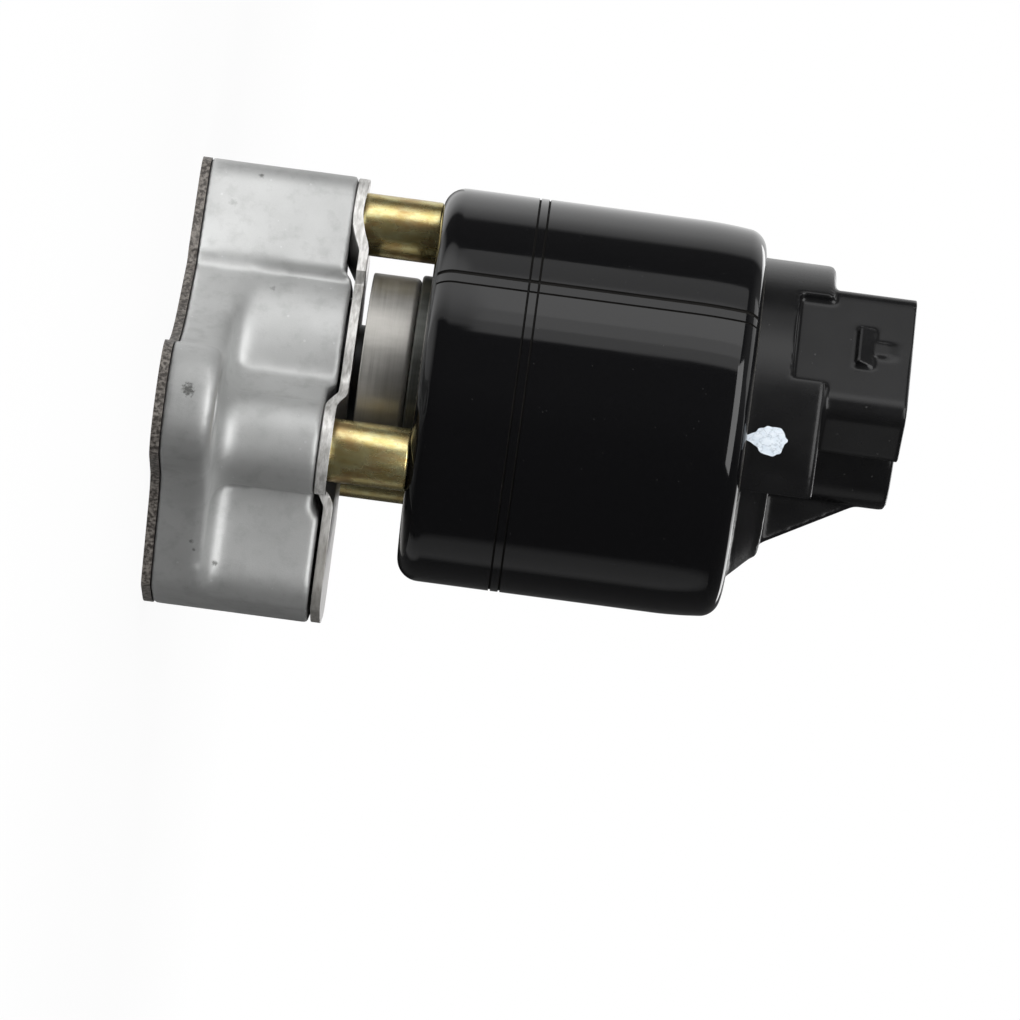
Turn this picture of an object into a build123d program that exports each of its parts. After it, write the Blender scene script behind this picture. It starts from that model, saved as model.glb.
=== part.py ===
from build123d import *
import math
import os

os.makedirs("parts", exist_ok=True)

# Exhaust gas recirculation valve with a linear solenoid, in millimetres.
# Z is the valve axis, base down. The origin is midway between the two mounting
# bolts, on the underside of the gasket. X runs through the bolts, and -Y points
# at the lobe that carries the front screw. A reach is measured from the valve
# axis, a radius or a diameter is round its own part, and a height runs along Z.

# ---- mounting face
bolt_spacing = 70.5
bolt_hole_d = 8.6
gasket_thickness = 1.2
gasket_slot_length = 10.1
gasket_slot_width = 8.9
valve_axis_y = -8.8
port_spacing = 20.3
exhaust_port_d = 15.8
intake_port_d = 16.3
port_gasket_clearance = 0.25

# ---- outline of the mounting flange
lobe_tip_margin = 6.1
lobe_tip_half_width = 4.0
lobe_tip_r = 4.9
lobe_neck_half_width = 8.3
lobe_neck_back = 7.0
lobe_undercut = 1.0
lobe_undercut_run = 1.5
lobe_neck_edge_r = 0.3
neck_fillet = 1.2
shoulder_x = 23.5
shoulder_fillet = 28.0
ear_front_y = -7.6
ear_back_y = 6.7
ear_overhang = 9.3
ear_front_r = 7.4
ear_back_r = 7.2
heel_x = 26.5
heel_y = 10.0
heel_fillet = 12.0
toe_half_width = 15.0
toe_corner_y = 23.6
toe_corner_r = 4.6
toe_peak_y = 25.7
toe_bow_r = 40.0

# ---- base casting
base_height = 21.0
flange_thickness = 6.5
flange_edge_round = 1.4
wall_fillet = 2.6
drum_r = 13.6
screw_boss_r = 6.2
boss_web_half_width = 5.6
boss_fillet = 2.0
boss_wall_fillet = 0.6
pad_depth = 1.1
pad_chamfer = 1.1
rear_pad_r = 8.8
front_pad_back = 7.3

# ---- three screws that tie base and actuator together
front_screw_inset = 6.45
rear_screw_inset = 4.98
rear_screw_angle = 32.4
screw_d = 5.0
screw_hole_d = 5.5
screw_head_d = 8.2
screw_head_height = 3.2
screw_socket_d = 4.0
screw_socket_depth = 2.0
counterbore_d = 8.8
counterbore_depth = 3.6
screw_engagement = 4.6
standoff_d = 8.4
standoff_length = 10.6
standoff_edge = 0.25

# ---- gas passages and seat
port_free_depth = 3.0
seat_ring_d = 14.8
seat_ring_height = 4.0
seat_spigot_d = 13.4
seat_spigot_height = 2.2
seat_bore_d = 11.0
seat_chamfer = 0.9
chamber_floor_web = 1.0
chamber_d = 17.0
chamber_height = 8.0
passage_width = 14.0
passage_height = 7.0

# ---- stem bush and deflector
bush_d = 13.8
bush_length = 2.0
bush_flange_d = 20.0
bush_flange_thickness = 2.4
bush_hub_d = 13.2
bush_hub_height = 3.9
stem_running_clearance = 0.04
deflector_thickness = 0.8
deflector_hole_d = 7.6
deflector_droop = 0.5

# ---- clamp plate
plate_thickness = 1.3
plate_gap = 0.4
plate_bend_r = 0.8
plate_dimple_r = 5.8
plate_dimple_run = 2.4
plate_inset = 0.15
plate_dimple_margin = 1.0
plate_hub_clearance = 0.2

# ---- stem shield and collar
shield_r = 13.8
shield_rim_gap = 1.0
shield_thickness = 0.8
shield_corner_r = 0.8
collar_r = 14.3
collar_thickness = 1.5
collar_edge = 0.4
stem_passage_d = 7.6

# ---- can
can_r = 26.65
can_height = 43.9
can_wall = 1.5
can_corner_r = 3.0
crown_height = 6.2
crown_inset = 0.6
crown_blend_r = 50.0
rim_corner_r = 2.6
rim_dome = 0.3
rim_width = 3.7
groove_depth = 0.25
groove_width = 0.28
groove_spacing = 1.3
groove_band_height = 12.8
groove_column_angle = -28.5

# ---- solenoid
part_gap = 0.1
pole_plate_thickness = 5.0
pole_tube_r = 11.0
lower_pole_tube = 9.0
pole_floor = 1.8
upper_pole_plate = 3.0
pole_tube_gap = 6.5
armature_r = 8.4
armature_running_clearance = 0.1
armature_length = 16.0
armature_floor_gap = 0.7
sleeve_wall = 0.3
stop_gap = 1.0
lift = 4.5
bobbin_flange_gap = 0.75
bobbin_wall = 1.4
bobbin_flange = 1.5
winding_margin = 1.3
lead_hole_d = 3.2
lead_width = 0.9
lead_reach = 12.8

# ---- pintle
stem_d = 6.0
stem_spigot_d = 5.0
head_d = 12.6
head_rim = 1.0
head_back_cone = 0.6
head_tip_clearance = 0.3
head_tip_d = 6.4
head_tip_depth = 3.4
head_tip_r = 1.0
seat_line_clearance = 0.05
nut_d = 8.0
nut_height = 3.5
stem_end_beyond_nut = 2.0

# ---- return spring
spring_mean_r = 5.5
spring_wire_d = 1.0
spring_turns = 4
spring_length = 14.0
spring_pocket_clearance = 0.5
spring_end_gap = 0.05

# ---- sensor cap
cap_flange_thickness = 2.9
cap_flange_clearance = 0.25
cap_plug_clearance = 0.15
cap_body_inset = 2.55
cap_body_height = 4.0
cap_body_step = 0.4
cap_body_chamfer = 3.0
rim_block_inset = 0.2
rim_block_height = 9.5
rim_block_half_angle = 59.0
rim_block_edge = 0.8
latch_notch_width = 13.9
latch_notch_rise = 4.7
connector_angle = -33.0
connector_reach = 14.5
shroud_width = 20.9
shroud_depth = 11.8
shroud_corner_r = 2.6
shroud_wall = 1.5
shroud_height = 20.5
socket_depth = 12.8
socket_corner_r = 0.8
tower_r = 8.9
tower_height = 20.3
tower_wall = 1.9
tower_roof = 3.6
tower_edge = 0.5
rib_thickness = 2.2
rib_inset = 1.8
rib_top_drop = 4.2
rib_angle = 123.0
seal_section_d = 1.7
seal_groove_height = 1.9
seal_clearance = 0.02
ramp_width = 6.1
ramp_below_mouth = 7.4
ramp_height = 2.2
ramp_rise = 1.4
ramp_rib_width = 2.1
ramp_rib_height = 3.6
ramp_rib_rise = 0.35

# ---- connector pins
pin_count = 5
pin_pitch = 2.8
pin_width = 1.5
pin_thickness = 0.8
pin_length = 7.0
pin_leg_drop = 2.2
pin_tip_chamfer = 0.3

# ---- position sensor
guide_r = 5.6
guide_flange_r = 6.6
guide_flange = 1.0
guide_length = 5.2
plunger_d = 5.0
plunger_clearance = 0.05
plunger_rest_gap = 0.6
plunger_head = 7.0
plunger_head_height = 3.6
plunger_spigot_d = 3.0
plunger_spigot_height = 2.4
plunger_stem_gap = 0.05
plunger_pole_clearance = 0.7
card_thickness = 1.0
card_width = 9.0
card_height = 11.0
card_reach = 5.4
card_slot_clearance = 0.05
wiper_thickness = 0.25
wiper_width = 4.0
wiper_clearance = 0.06
sensor_spring_mean_r = 2.3
sensor_spring_wire_d = 0.6
sensor_spring_turns = 6

# ---- levels and radii that follow from the sizes above
base_z = gasket_thickness
flange_top_z = base_z + flange_thickness
base_top_z = base_z + base_height
pad_z = base_top_z - pad_depth
plate_low_z = pad_z
plate_high_z = base_top_z + plate_gap
plate_top_z = plate_high_z + plate_thickness
standoff_z = plate_low_z + plate_thickness
can_z = standoff_z + standoff_length
can_top_z = can_z + can_height
collar_z = can_z - collar_thickness
shield_z = plate_top_z + shield_rim_gap
seat_z = base_z + port_free_depth
seat_step_z = seat_z + seat_ring_height
seat_top_z = seat_step_z + seat_spigot_height
chamber_z = seat_step_z + chamber_floor_web
chamber_top_z = chamber_z + chamber_height
bush_flange_z = plate_high_z - bush_flange_thickness
bush_z = bush_flange_z - bush_length
lower_pole_z = can_z + can_wall
pole_floor_z = lower_pole_z + pole_floor
lower_tube_z = lower_pole_z + pole_plate_thickness
lower_tube_top_z = lower_tube_z + lower_pole_tube
bobbin_z = lower_tube_z + part_gap
rim_under_z = can_top_z - rim_dome - can_wall
cap_z = rim_under_z - cap_flange_thickness
upper_pole_z = cap_z - upper_pole_plate
bobbin_top_z = upper_pole_z - part_gap
upper_tube_z = lower_tube_top_z + pole_tube_gap
armature_z = pole_floor_z + armature_floor_gap
armature_top_z = armature_z + armature_length
stop_z = armature_top_z + lift + stop_gap
spring_top_z = armature_top_z + spring_length
nut_top_z = armature_top_z + nut_height
stem_top_z = nut_top_z + stem_end_beyond_nut
cap_body_z = can_top_z
cap_body_top_z = cap_body_z + cap_body_height
rim_block_top_z = cap_body_z + rim_block_height
shroud_top_z = cap_body_z + shroud_height
socket_z = shroud_top_z - socket_depth
tower_top_z = cap_body_z + tower_height
sensor_roof_z = tower_top_z - tower_roof
sensor_floor_z = cap_z + guide_length
plunger_head_z = sensor_floor_z + guide_flange + plunger_rest_gap
plunger_head_top_z = plunger_head_z + plunger_head_height
pin_leg_z = socket_z - pin_leg_drop - pin_thickness
sleeve_r = armature_r + armature_running_clearance
pole_bore_r = sleeve_r + sleeve_wall
can_inner_r = can_r - can_wall
front_screw_reach = can_r - front_screw_inset
rear_screw_x = (can_r - rear_screw_inset) * math.cos(math.radians(rear_screw_angle))
rear_screw_reach = (can_r - rear_screw_inset) * math.sin(math.radians(rear_screw_angle))
front_pad_reach = front_screw_reach - front_pad_back
lobe_neck_reach = front_screw_reach - lobe_neck_back
lobe_reach = front_screw_reach + lobe_tip_margin
rim_inner_r = can_r - rim_width
cap_body_r = rim_inner_r - cap_body_inset
rim_block_r = rim_inner_r - rim_block_inset
rib_reach = cap_body_r - cap_body_chamfer - rib_inset
bobbin_flange_r = can_inner_r - bobbin_flange_gap
winding_r = bobbin_flange_r - winding_margin
pole_plate_r = can_inner_r - part_gap
bobbin_inner_r = pole_tube_r + part_gap
winding_inner_r = bobbin_inner_r + bobbin_wall
tower_inner_r = tower_r - tower_wall
shroud_face_reach = connector_reach + shroud_depth / 2
seal_major_r = can_inner_r - seal_clearance - seal_section_d / 2
dimple_edge_r = plate_dimple_r + plate_dimple_run + plate_dimple_margin
screw_places = [(0, -front_screw_reach), (rear_screw_x, rear_screw_reach), (-rear_screw_x, rear_screw_reach)]
valve_place = Pos(0, valve_axis_y, 0)
connector_place = valve_place * Rot(0, 0, connector_angle)


# ---- drawing helpers
def closed_face(corners):
    """Face inside straight runs, from (x, y, corner radius) corners."""
    path = FilletPolyline(*[(x, y) for x, y, r in corners], radius=[r for x, y, r in corners], close=True)
    return make_face(path)


def mirrored_face(corners):
    """Face symmetrical in X, from the corners of its right half; a corner on x = 0 stands alone."""
    left = [(-x, y, r) for x, y, r in reversed(corners) if x > 0]
    return closed_face(corners + left)


def turned(corners):
    """Solid of revolution round Z, from (radius, height, corner radius) corners of its half section."""
    return revolve(Plane.XZ * closed_face(corners), Axis.Z)


def rounds(corners, radius=0):
    """Gives plain (x, y) corners one corner radius."""
    return [(x, y, radius) for x, y in corners]


def disc(outer_r, low_z, high_z):
    """Cylinder round Z between two levels."""
    return extrude(Pos(0, 0, low_z) * Circle(outer_r), high_z - low_z)


def ring(outer_r, inner_r, low_z, high_z):
    """Plain ring round Z between two levels."""
    return extrude(Pos(0, 0, low_z) * (Circle(outer_r) - Circle(inner_r)), high_z - low_z)


def prism(face, low_z, high_z):
    """Straight extrusion of a flat face between two levels."""
    return extrude(Pos(0, 0, low_z) * face, high_z - low_z)


def block(low, high):
    """Box between two corners."""
    size = [b - a for a, b in zip(low, high)]
    return Pos(*low) * Box(*size, align=(Align.MIN, Align.MIN, Align.MIN))


def at_screws(shape):
    """Copies of a shape drawn round Z, one on each screw axis."""
    return [valve_place * Pos(x, y) * shape for x, y in screw_places]


# ---- outlines that base, gasket and plate share
def lobe_corners():
    """Right side of the lobe, from its tip back to the neck."""
    neck_y = valve_axis_y - lobe_neck_reach
    undercut_x = lobe_neck_half_width - lobe_undercut
    return [
        (lobe_tip_half_width, valve_axis_y - lobe_reach, lobe_tip_r),
        (lobe_neck_half_width, neck_y, lobe_neck_edge_r),
        (undercut_x, neck_y + lobe_undercut_run, neck_fillet),
    ]


def toe_corners():
    """Right side of the intake end, from its corner to the middle."""
    return [(toe_half_width, toe_corner_y, toe_corner_r), (0, toe_peak_y, toe_bow_r)]


def flange_outline():
    """Two ears, the lobe and the toe."""
    ear_x = bolt_spacing / 2 + ear_overhang
    shoulder = (shoulder_x, ear_front_y, shoulder_fillet)
    ear = [(ear_x, ear_front_y, ear_front_r), (ear_x, ear_back_y, ear_back_r)]
    heel = (heel_x, heel_y, heel_fillet)
    return mirrored_face(lobe_corners() + [shoulder] + ear + [heel] + toe_corners())


def wall_outline():
    """Casting above its flange: lobe, drum round the valve, screw bosses on webs, and intake block."""
    neck_x = lobe_neck_half_width - lobe_undercut
    lobe = mirrored_face(lobe_corners() + [(neck_x, valve_axis_y, 0)])
    toe = mirrored_face([(toe_half_width, valve_axis_y + rear_screw_reach, 0)] + toe_corners())
    outline = lobe + toe + valve_place * Circle(drum_r)
    for x, y in screw_places[1:]:
        reach = (x**2 + y**2) ** 0.5
        web = Rectangle(reach, 2 * boss_web_half_width, align=(Align.MIN, Align.CENTER))
        turn = math.degrees(math.atan2(y, x))
        outline += valve_place * Rot(0, 0, turn) * web
        outline += valve_place * Pos(x, y) * Circle(screw_boss_r)
    return outline


def rounded_wall_outline():
    """Wall outline with the casting radii beside the screw bosses."""
    outline = wall_outline()
    axis_point = Vector(0, valve_axis_y, 0)
    drum_corners = []
    toe_wall_corners = []
    for corner in outline.vertices():
        point = Vector(corner.X, corner.Y, 0)
        on_drum = abs((point - axis_point).length - drum_r) < 0.01
        if on_drum and abs(corner.X) > lobe_neck_half_width:
            drum_corners.append(corner)
        elif abs(abs(corner.X) - toe_half_width) < 0.01 and corner.Y < valve_axis_y + 2 * rear_screw_reach:
            toe_wall_corners.append(corner)
    outline = fillet(drum_corners, boss_fillet)
    wanted = [(round(v.X, 3), round(v.Y, 3)) for v in toe_wall_corners]
    same = [v for v in outline.vertices() if (round(v.X, 3), round(v.Y, 3)) in wanted]
    return fillet(same, boss_wall_fillet)


# ---- base and what it holds
def mounting_gasket():
    """Faced steel gasket with two ports and two bolt slots."""
    gasket = prism(flange_outline(), 0, gasket_thickness)
    exhaust_r = exhaust_port_d / 2 + port_gasket_clearance
    intake_r = intake_port_d / 2 + port_gasket_clearance
    gasket -= valve_place * disc(exhaust_r, -1, gasket_thickness + 1)
    gasket -= valve_place * Pos(0, port_spacing) * disc(intake_r, -1, gasket_thickness + 1)
    slot = prism(SlotOverall(gasket_slot_length, gasket_slot_width), -1, gasket_thickness + 1)
    for side in (-1, 1):
        gasket -= Pos(side * bolt_spacing / 2, 0) * slot
    return gasket


def foot_section(half_width):
    """Half-width plus the concave radius on both sides, standing on the flange."""
    reach = half_width + wall_fillet
    section = Pos(0, -flange_thickness / 2) * Rectangle(2 * reach, flange_thickness)
    section += Pos(0, wall_fillet / 2) * Rectangle(2 * reach, wall_fillet)
    for side in (-1, 1):
        section -= Pos(side * reach, wall_fillet) * Circle(wall_fillet)
    return section


def round_foot(radius):
    """Foot fillet round a vertical cylinder on the flange."""
    half = foot_section(radius) & Pos(0, -flange_thickness) * Rectangle(
        100, 100, align=(Align.MIN, Align.MIN)
    )
    return Pos(0, 0, flange_top_z) * revolve(Plane.XZ * half, Axis.Z)


def straight_foot(half_width, length):
    """Foot fillet along both sides of a straight wall that starts at Z and runs along +Y."""
    section = Plane.XZ * foot_section(half_width)
    return Pos(0, 0, flange_top_z) * extrude(section, -length)


def wall_feet():
    """All foot fillets of the casting, kept inside the flange."""
    feet = valve_place * round_foot(drum_r)
    for x, y in screw_places[1:]:
        reach = (x**2 + y**2) ** 0.5
        turn = math.degrees(math.atan2(y, x)) - 90
        feet += valve_place * Pos(x, y) * round_foot(screw_boss_r)
        feet += valve_place * Rot(0, 0, turn) * straight_foot(boss_web_half_width, reach)
    toe_start = valve_axis_y + rear_screw_reach
    corner_y = toe_corner_y - toe_corner_r
    feet += Pos(0, toe_start) * straight_foot(toe_half_width, corner_y - toe_start)
    for side in (-1, 1):
        feet += Pos(side * (toe_half_width - toe_corner_r), corner_y) * round_foot(toe_corner_r)
    return feet & prism(flange_outline(), base_z, flange_top_z + wall_fillet)


def casting_body():
    """Flange and walls in one, with rounded flange edge and a fillet where the walls stand on it."""
    flange = prism(flange_outline(), base_z, flange_top_z)
    flange = fillet(flange.edges().group_by(Axis.Z)[-1], flange_edge_round)
    return flange + prism(rounded_wall_outline(), base_z, base_top_z) + wall_feet()


def pad_recesses():
    """Three recesses in the top face: across the lobe, and round each rear screw."""
    chamfer_end = -front_pad_reach + pad_chamfer
    over = 1.0
    lobe_end = -lobe_reach - over
    side = [
        (lobe_end, pad_z),
        (-front_pad_reach, pad_z),
        (chamfer_end, base_top_z),
        (chamfer_end, base_top_z + over),
        (lobe_end, base_top_z + over),
    ]
    front = extrude(Plane.YZ * closed_face(rounds(side)), lobe_neck_half_width + over, both=True)
    cone = [
        (0, pad_z),
        (rear_pad_r, pad_z),
        (rear_pad_r + pad_chamfer, base_top_z),
        (rear_pad_r + pad_chamfer, base_top_z + over),
        (0, base_top_z + over),
    ]
    rear = turned(rounds(cone))
    return [valve_place * front] + at_screws(rear)[1:]


def valve_base():
    """Cast body with its ports, gas chamber, bush bore and screw holes."""
    base = casting_body()
    for recess in pad_recesses():
        base -= recess
    over = 1.0
    passage_top_z = chamber_z + passage_height
    base -= valve_place * disc(exhaust_port_d / 2, base_z - over, seat_z)
    base -= valve_place * disc(seat_ring_d / 2, seat_z, seat_step_z)
    base -= valve_place * disc(seat_spigot_d / 2, seat_step_z - over, chamber_z + over)
    base -= valve_place * disc(chamber_d / 2, chamber_z, chamber_top_z)
    base -= valve_place * disc(bush_d / 2, chamber_top_z - over, base_top_z + over)
    base -= valve_place * disc(bush_flange_d / 2 + part_gap, bush_flange_z, base_top_z + over)
    base -= valve_place * Pos(0, port_spacing) * disc(intake_port_d / 2, base_z - over, passage_top_z)
    duct = Pos(0, valve_axis_y + port_spacing / 2) * Rectangle(passage_width, port_spacing)
    base -= prism(duct, chamber_z, passage_top_z)
    for side in (-1, 1):
        base -= Pos(side * bolt_spacing / 2, 0) * disc(bolt_hole_d / 2, base_z - over, flange_top_z + over)
    screw_hole = disc(screw_hole_d / 2, base_z - over, base_top_z + over)
    counterbore = disc(counterbore_d / 2, base_z - over, base_z + counterbore_depth)
    for cut in at_screws(screw_hole + counterbore):
        base -= cut
    return base


def valve_seat():
    """Hardened ring pressed in above the exhaust port, with its spigot through the chamber floor."""
    return valve_place * turned(
        rounds(
            [
                (seat_bore_d / 2, seat_z),
                (seat_ring_d / 2, seat_z),
                (seat_ring_d / 2, seat_step_z),
                (seat_spigot_d / 2, seat_step_z),
                (seat_spigot_d / 2, seat_top_z),
                (seat_bore_d / 2 + seat_chamfer, seat_top_z),
                (seat_bore_d / 2, seat_top_z - seat_chamfer),
            ]
        )
    )


def stem_bush():
    """Flanged bush, clamped under the plate, with a hub up into the shield."""
    bore_r = stem_d / 2 + stem_running_clearance
    return valve_place * turned(
        rounds(
            [
                (bore_r, bush_z),
                (bush_d / 2, bush_z),
                (bush_d / 2, bush_flange_z),
                (bush_flange_d / 2, bush_flange_z),
                (bush_flange_d / 2, plate_high_z),
                (bush_hub_d / 2, plate_high_z),
                (bush_hub_d / 2, plate_high_z + bush_hub_height),
                (bore_r, plate_high_z + bush_hub_height),
            ]
        )
    )


def gas_deflector():
    """Dished washer under the bush, its outer edge drooping to shed soot."""
    flat_r = (bush_d + deflector_hole_d) / 4
    return valve_place * turned(
        rounds(
            [
                (deflector_hole_d / 2, bush_z - deflector_thickness),
                (flat_r, bush_z - deflector_thickness),
                (bush_d / 2, bush_z - deflector_thickness - deflector_droop),
                (bush_d / 2, bush_z - deflector_droop),
                (flat_r, bush_z),
                (deflector_hole_d / 2, bush_z),
            ]
        )
    )


# ---- clamp plate, standoffs and screws
def plate_dimple():
    """Stamped dimple of the plate round one screw: down to the pad, up a slope, out to the flat."""
    rise = plate_high_z - plate_low_z
    slope = math.atan2(rise, plate_dimple_run)
    shift = plate_thickness * math.tan(slope / 2)
    outer_bend = plate_bend_r + plate_thickness
    slope_end = plate_dimple_r + plate_dimple_run
    return turned(
        [
            (screw_hole_d / 2, plate_low_z, 0),
            (plate_dimple_r, plate_low_z, outer_bend),
            (slope_end, plate_high_z, plate_bend_r),
            (dimple_edge_r, plate_high_z, 0),
            (dimple_edge_r, plate_top_z, 0),
            (slope_end - shift, plate_top_z, outer_bend),
            (plate_dimple_r - shift, standoff_z, plate_bend_r),
            (screw_hole_d / 2, standoff_z, 0),
        ]
    )


def clamp_plate():
    """Stamped plate: raised over the casting, dimpled down to the pad at each screw."""
    outline = offset(rounded_wall_outline(), -plate_inset)
    plate = prism(outline, plate_high_z, plate_top_z)
    for cut in at_screws(disc(dimple_edge_r, plate_low_z, plate_top_z + 1)):
        plate -= cut
    column = prism(outline, plate_low_z - 1, plate_top_z + 1)
    for dimple in at_screws(plate_dimple()):
        plate += dimple & column
    return plate - valve_place * disc(bush_hub_d / 2 + plate_hub_clearance, plate_low_z, plate_top_z + 1)


def standoff():
    """Tube spacer between the plate and the can."""
    tube = ring(standoff_d / 2, screw_hole_d / 2, standoff_z, can_z)
    ends = tube.edges().filter_by(GeomType.CIRCLE).filter_by(lambda edge: edge.radius > screw_hole_d / 2)
    return chamfer(ends, standoff_edge)


def base_screw():
    """Socket screw from under the base, through plate and standoff, into the lower pole."""
    seat_level = base_z + counterbore_depth
    head_low = seat_level - screw_head_height
    end = lower_pole_z + screw_engagement
    screw = turned(
        [
            (0, head_low, 0),
            (screw_head_d / 2, head_low, 0.4),
            (screw_head_d / 2, seat_level, 0),
            (screw_d / 2, seat_level, 0),
            (screw_d / 2, end - 0.5, 0),
            (screw_d / 2 - 0.5, end, 0),
            (0, end, 0),
        ]
    )
    return screw - prism(RegularPolygon(screw_socket_d / 2, 6), head_low - 1, head_low + screw_socket_depth)


def stem_shield():
    """Thin inverted cup that keeps dirt off the stem, open towards the base."""
    return valve_place * turned(
        [
            (stem_passage_d / 2, collar_z, 0),
            (shield_r, collar_z, shield_corner_r),
            (shield_r, shield_z, 0),
            (shield_r - shield_thickness, shield_z, 0),
            (shield_r - shield_thickness, collar_z - shield_thickness, shield_corner_r - shield_thickness),
            (stem_passage_d / 2, collar_z - shield_thickness, 0),
        ]
    )


def shield_collar():
    """Dark disc between the shield and the can."""
    return valve_place * turned(
        [
            (stem_passage_d / 2, collar_z, 0),
            (collar_r, collar_z, collar_edge),
            (collar_r, can_z, 0),
            (stem_passage_d / 2, can_z, 0),
        ]
    )


# ---- can and solenoid
def can_grooves():
    """Paired scribe lines: two round the can, and two along it."""
    cutter_r = can_r + 1
    floor_r = can_r - groove_depth
    half = groove_width / 2
    cutters = []
    for step in (0, groove_spacing):
        level = can_z + groove_band_height + step
        cutters.append(valve_place * ring(cutter_r, floor_r, level - half, level + half))
    turn_each = math.degrees(groove_spacing / 2 / can_r)
    for side in (-1, 1):
        line = block((floor_r, -half, can_z), (cutter_r, half, can_top_z))
        cutters.append(valve_place * Rot(0, 0, groove_column_angle + side * turn_each) * line)
    return cutters


def coil_housing():
    """Deep-drawn can with its rim rolled over the cap."""
    can = valve_place * turned(
        [
            (stem_passage_d / 2, can_z, 0),
            (can_r, can_z, can_corner_r),
            (can_r, can_top_z - crown_height, crown_blend_r),
            (can_r - crown_inset, can_top_z - 2 * rim_dome, rim_corner_r),
            (rim_inner_r, can_top_z, 0),
            (rim_inner_r, rim_under_z, 0),
            (can_inner_r, rim_under_z, 0),
            (can_inner_r, lower_pole_z, can_corner_r - can_wall),
            (stem_passage_d / 2, lower_pole_z, 0),
        ]
    )
    for hole in at_screws(disc(screw_hole_d / 2, can_z - 1, lower_pole_z + 1)):
        can -= hole
    for groove in can_grooves():
        can -= groove
    return can


def lower_pole():
    """Flux plate with the threads for the screws, and a tube round the armature."""
    pole = turned(
        [
            (stem_passage_d / 2, lower_pole_z, 0),
            (pole_plate_r, lower_pole_z, can_corner_r - can_wall + part_gap),
            (pole_plate_r, lower_tube_z, 0),
            (pole_tube_r, lower_tube_z, 0),
            (pole_tube_r, lower_tube_top_z, 0),
            (pole_bore_r, lower_tube_top_z, 0),
            (pole_bore_r, pole_floor_z, 0),
            (stem_passage_d / 2, pole_floor_z, 0),
        ]
    )
    pole = valve_place * pole
    for hole in at_screws(disc(screw_d / 2, lower_pole_z - 1, lower_tube_z + 1)):
        pole -= hole
    return pole


def upper_pole():
    """Flux plate, stop for the armature and pocket for the return spring."""
    pocket_r = spring_mean_r + spring_wire_d / 2 + spring_pocket_clearance
    rod_hole_r = plunger_d / 2 + plunger_pole_clearance
    pole = turned(
        rounds(
            [
                (pole_bore_r, upper_tube_z),
                (pole_tube_r, upper_tube_z),
                (pole_tube_r, upper_pole_z),
                (pole_plate_r, upper_pole_z),
                (pole_plate_r, cap_z),
                (rod_hole_r, cap_z),
                (rod_hole_r, spring_top_z),
                (pocket_r, spring_top_z),
                (pocket_r, stop_z),
                (pole_bore_r, stop_z),
            ]
        )
    )
    hole = disc(lead_hole_d / 2, upper_pole_z - 1, cap_z + 1)
    for offset_y in outer_pin_offsets:
        pole -= Rot(0, 0, connector_angle) * Pos(lead_reach, offset_y) * hole
    return valve_place * pole


def armature_sleeve():
    """Thin non-magnetic tube that guides the armature."""
    return valve_place * ring(pole_bore_r, sleeve_r, pole_floor_z, stop_z)


def coil_bobbin():
    """Moulded spool for the winding."""
    top = bobbin_top_z
    return valve_place * turned(
        rounds(
            [
                (bobbin_inner_r, bobbin_z),
                (bobbin_flange_r, bobbin_z),
                (bobbin_flange_r, bobbin_z + bobbin_flange),
                (winding_inner_r, bobbin_z + bobbin_flange),
                (winding_inner_r, top - bobbin_flange),
                (bobbin_flange_r, top - bobbin_flange),
                (bobbin_flange_r, top),
                (bobbin_inner_r, top),
            ]
        )
    )


def coil_winding():
    """Copper winding as one closed ring on the spool."""
    return valve_place * ring(winding_r, winding_inner_r, bobbin_z + bobbin_flange, bobbin_top_z - bobbin_flange)


# ---- what moves
def seat_cone_z(radius):
    """Height of the pintle's cone at a radius, just off the seat's chamfer."""
    lift_off = seat_line_clearance * math.sqrt(2)
    return seat_top_z - seat_chamfer + radius - seat_bore_d / 2 + lift_off


def pintle():
    """Stem with its conical head above the seat and a metering tip down the bore."""
    plug_r = seat_bore_d / 2 - head_tip_clearance
    head_r = head_d / 2
    cone_low = seat_cone_z(plug_r)
    cone_high = seat_cone_z(head_r)
    back_z = cone_high + head_rim
    return valve_place * turned(
        [
            (0, cone_low - head_tip_depth, 0),
            (head_tip_d / 2, cone_low - head_tip_depth, head_tip_r),
            (plug_r, cone_low, 0),
            (head_r, cone_high, 0),
            (head_r, back_z, 0),
            (stem_d / 2, back_z + head_back_cone, 0),
            (stem_d / 2, armature_z, 0),
            (stem_spigot_d / 2, armature_z, 0),
            (stem_spigot_d / 2, stem_top_z, 0.4),
            (0, stem_top_z, 0),
        ]
    )


def armature():
    """Solenoid plunger on the stem's spigot."""
    body = ring(armature_r, stem_spigot_d / 2, armature_z, armature_top_z)
    rims = body.edges().filter_by(GeomType.CIRCLE).filter_by(lambda edge: edge.radius > stem_d / 2)
    return valve_place * chamfer(rims, 0.4)


def armature_nut():
    """Hexagon nut that holds the armature against the stem's shoulder."""
    hexagon = RegularPolygon(nut_d / 2, 6) - Circle(stem_spigot_d / 2)
    return valve_place * prism(hexagon, armature_top_z, nut_top_z)


def coil_spring(mean_r, wire_d, turns, low_z, high_z):
    """Round-wire compression spring between two levels."""
    rise = high_z - low_z - wire_d - 2 * spring_end_gap
    path = Helix(pitch=rise / turns, height=rise, radius=mean_r)
    start = Plane(origin=path @ 0, z_dir=path % 0)
    wire = sweep(start * Circle(wire_d / 2), path=path, is_frenet=True)
    return valve_place * Pos(0, 0, low_z + wire_d / 2 + spring_end_gap) * wire


def return_spring():
    """Closing spring between the armature and the upper pole."""
    return coil_spring(spring_mean_r, spring_wire_d, spring_turns, armature_top_z, spring_top_z)


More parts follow.
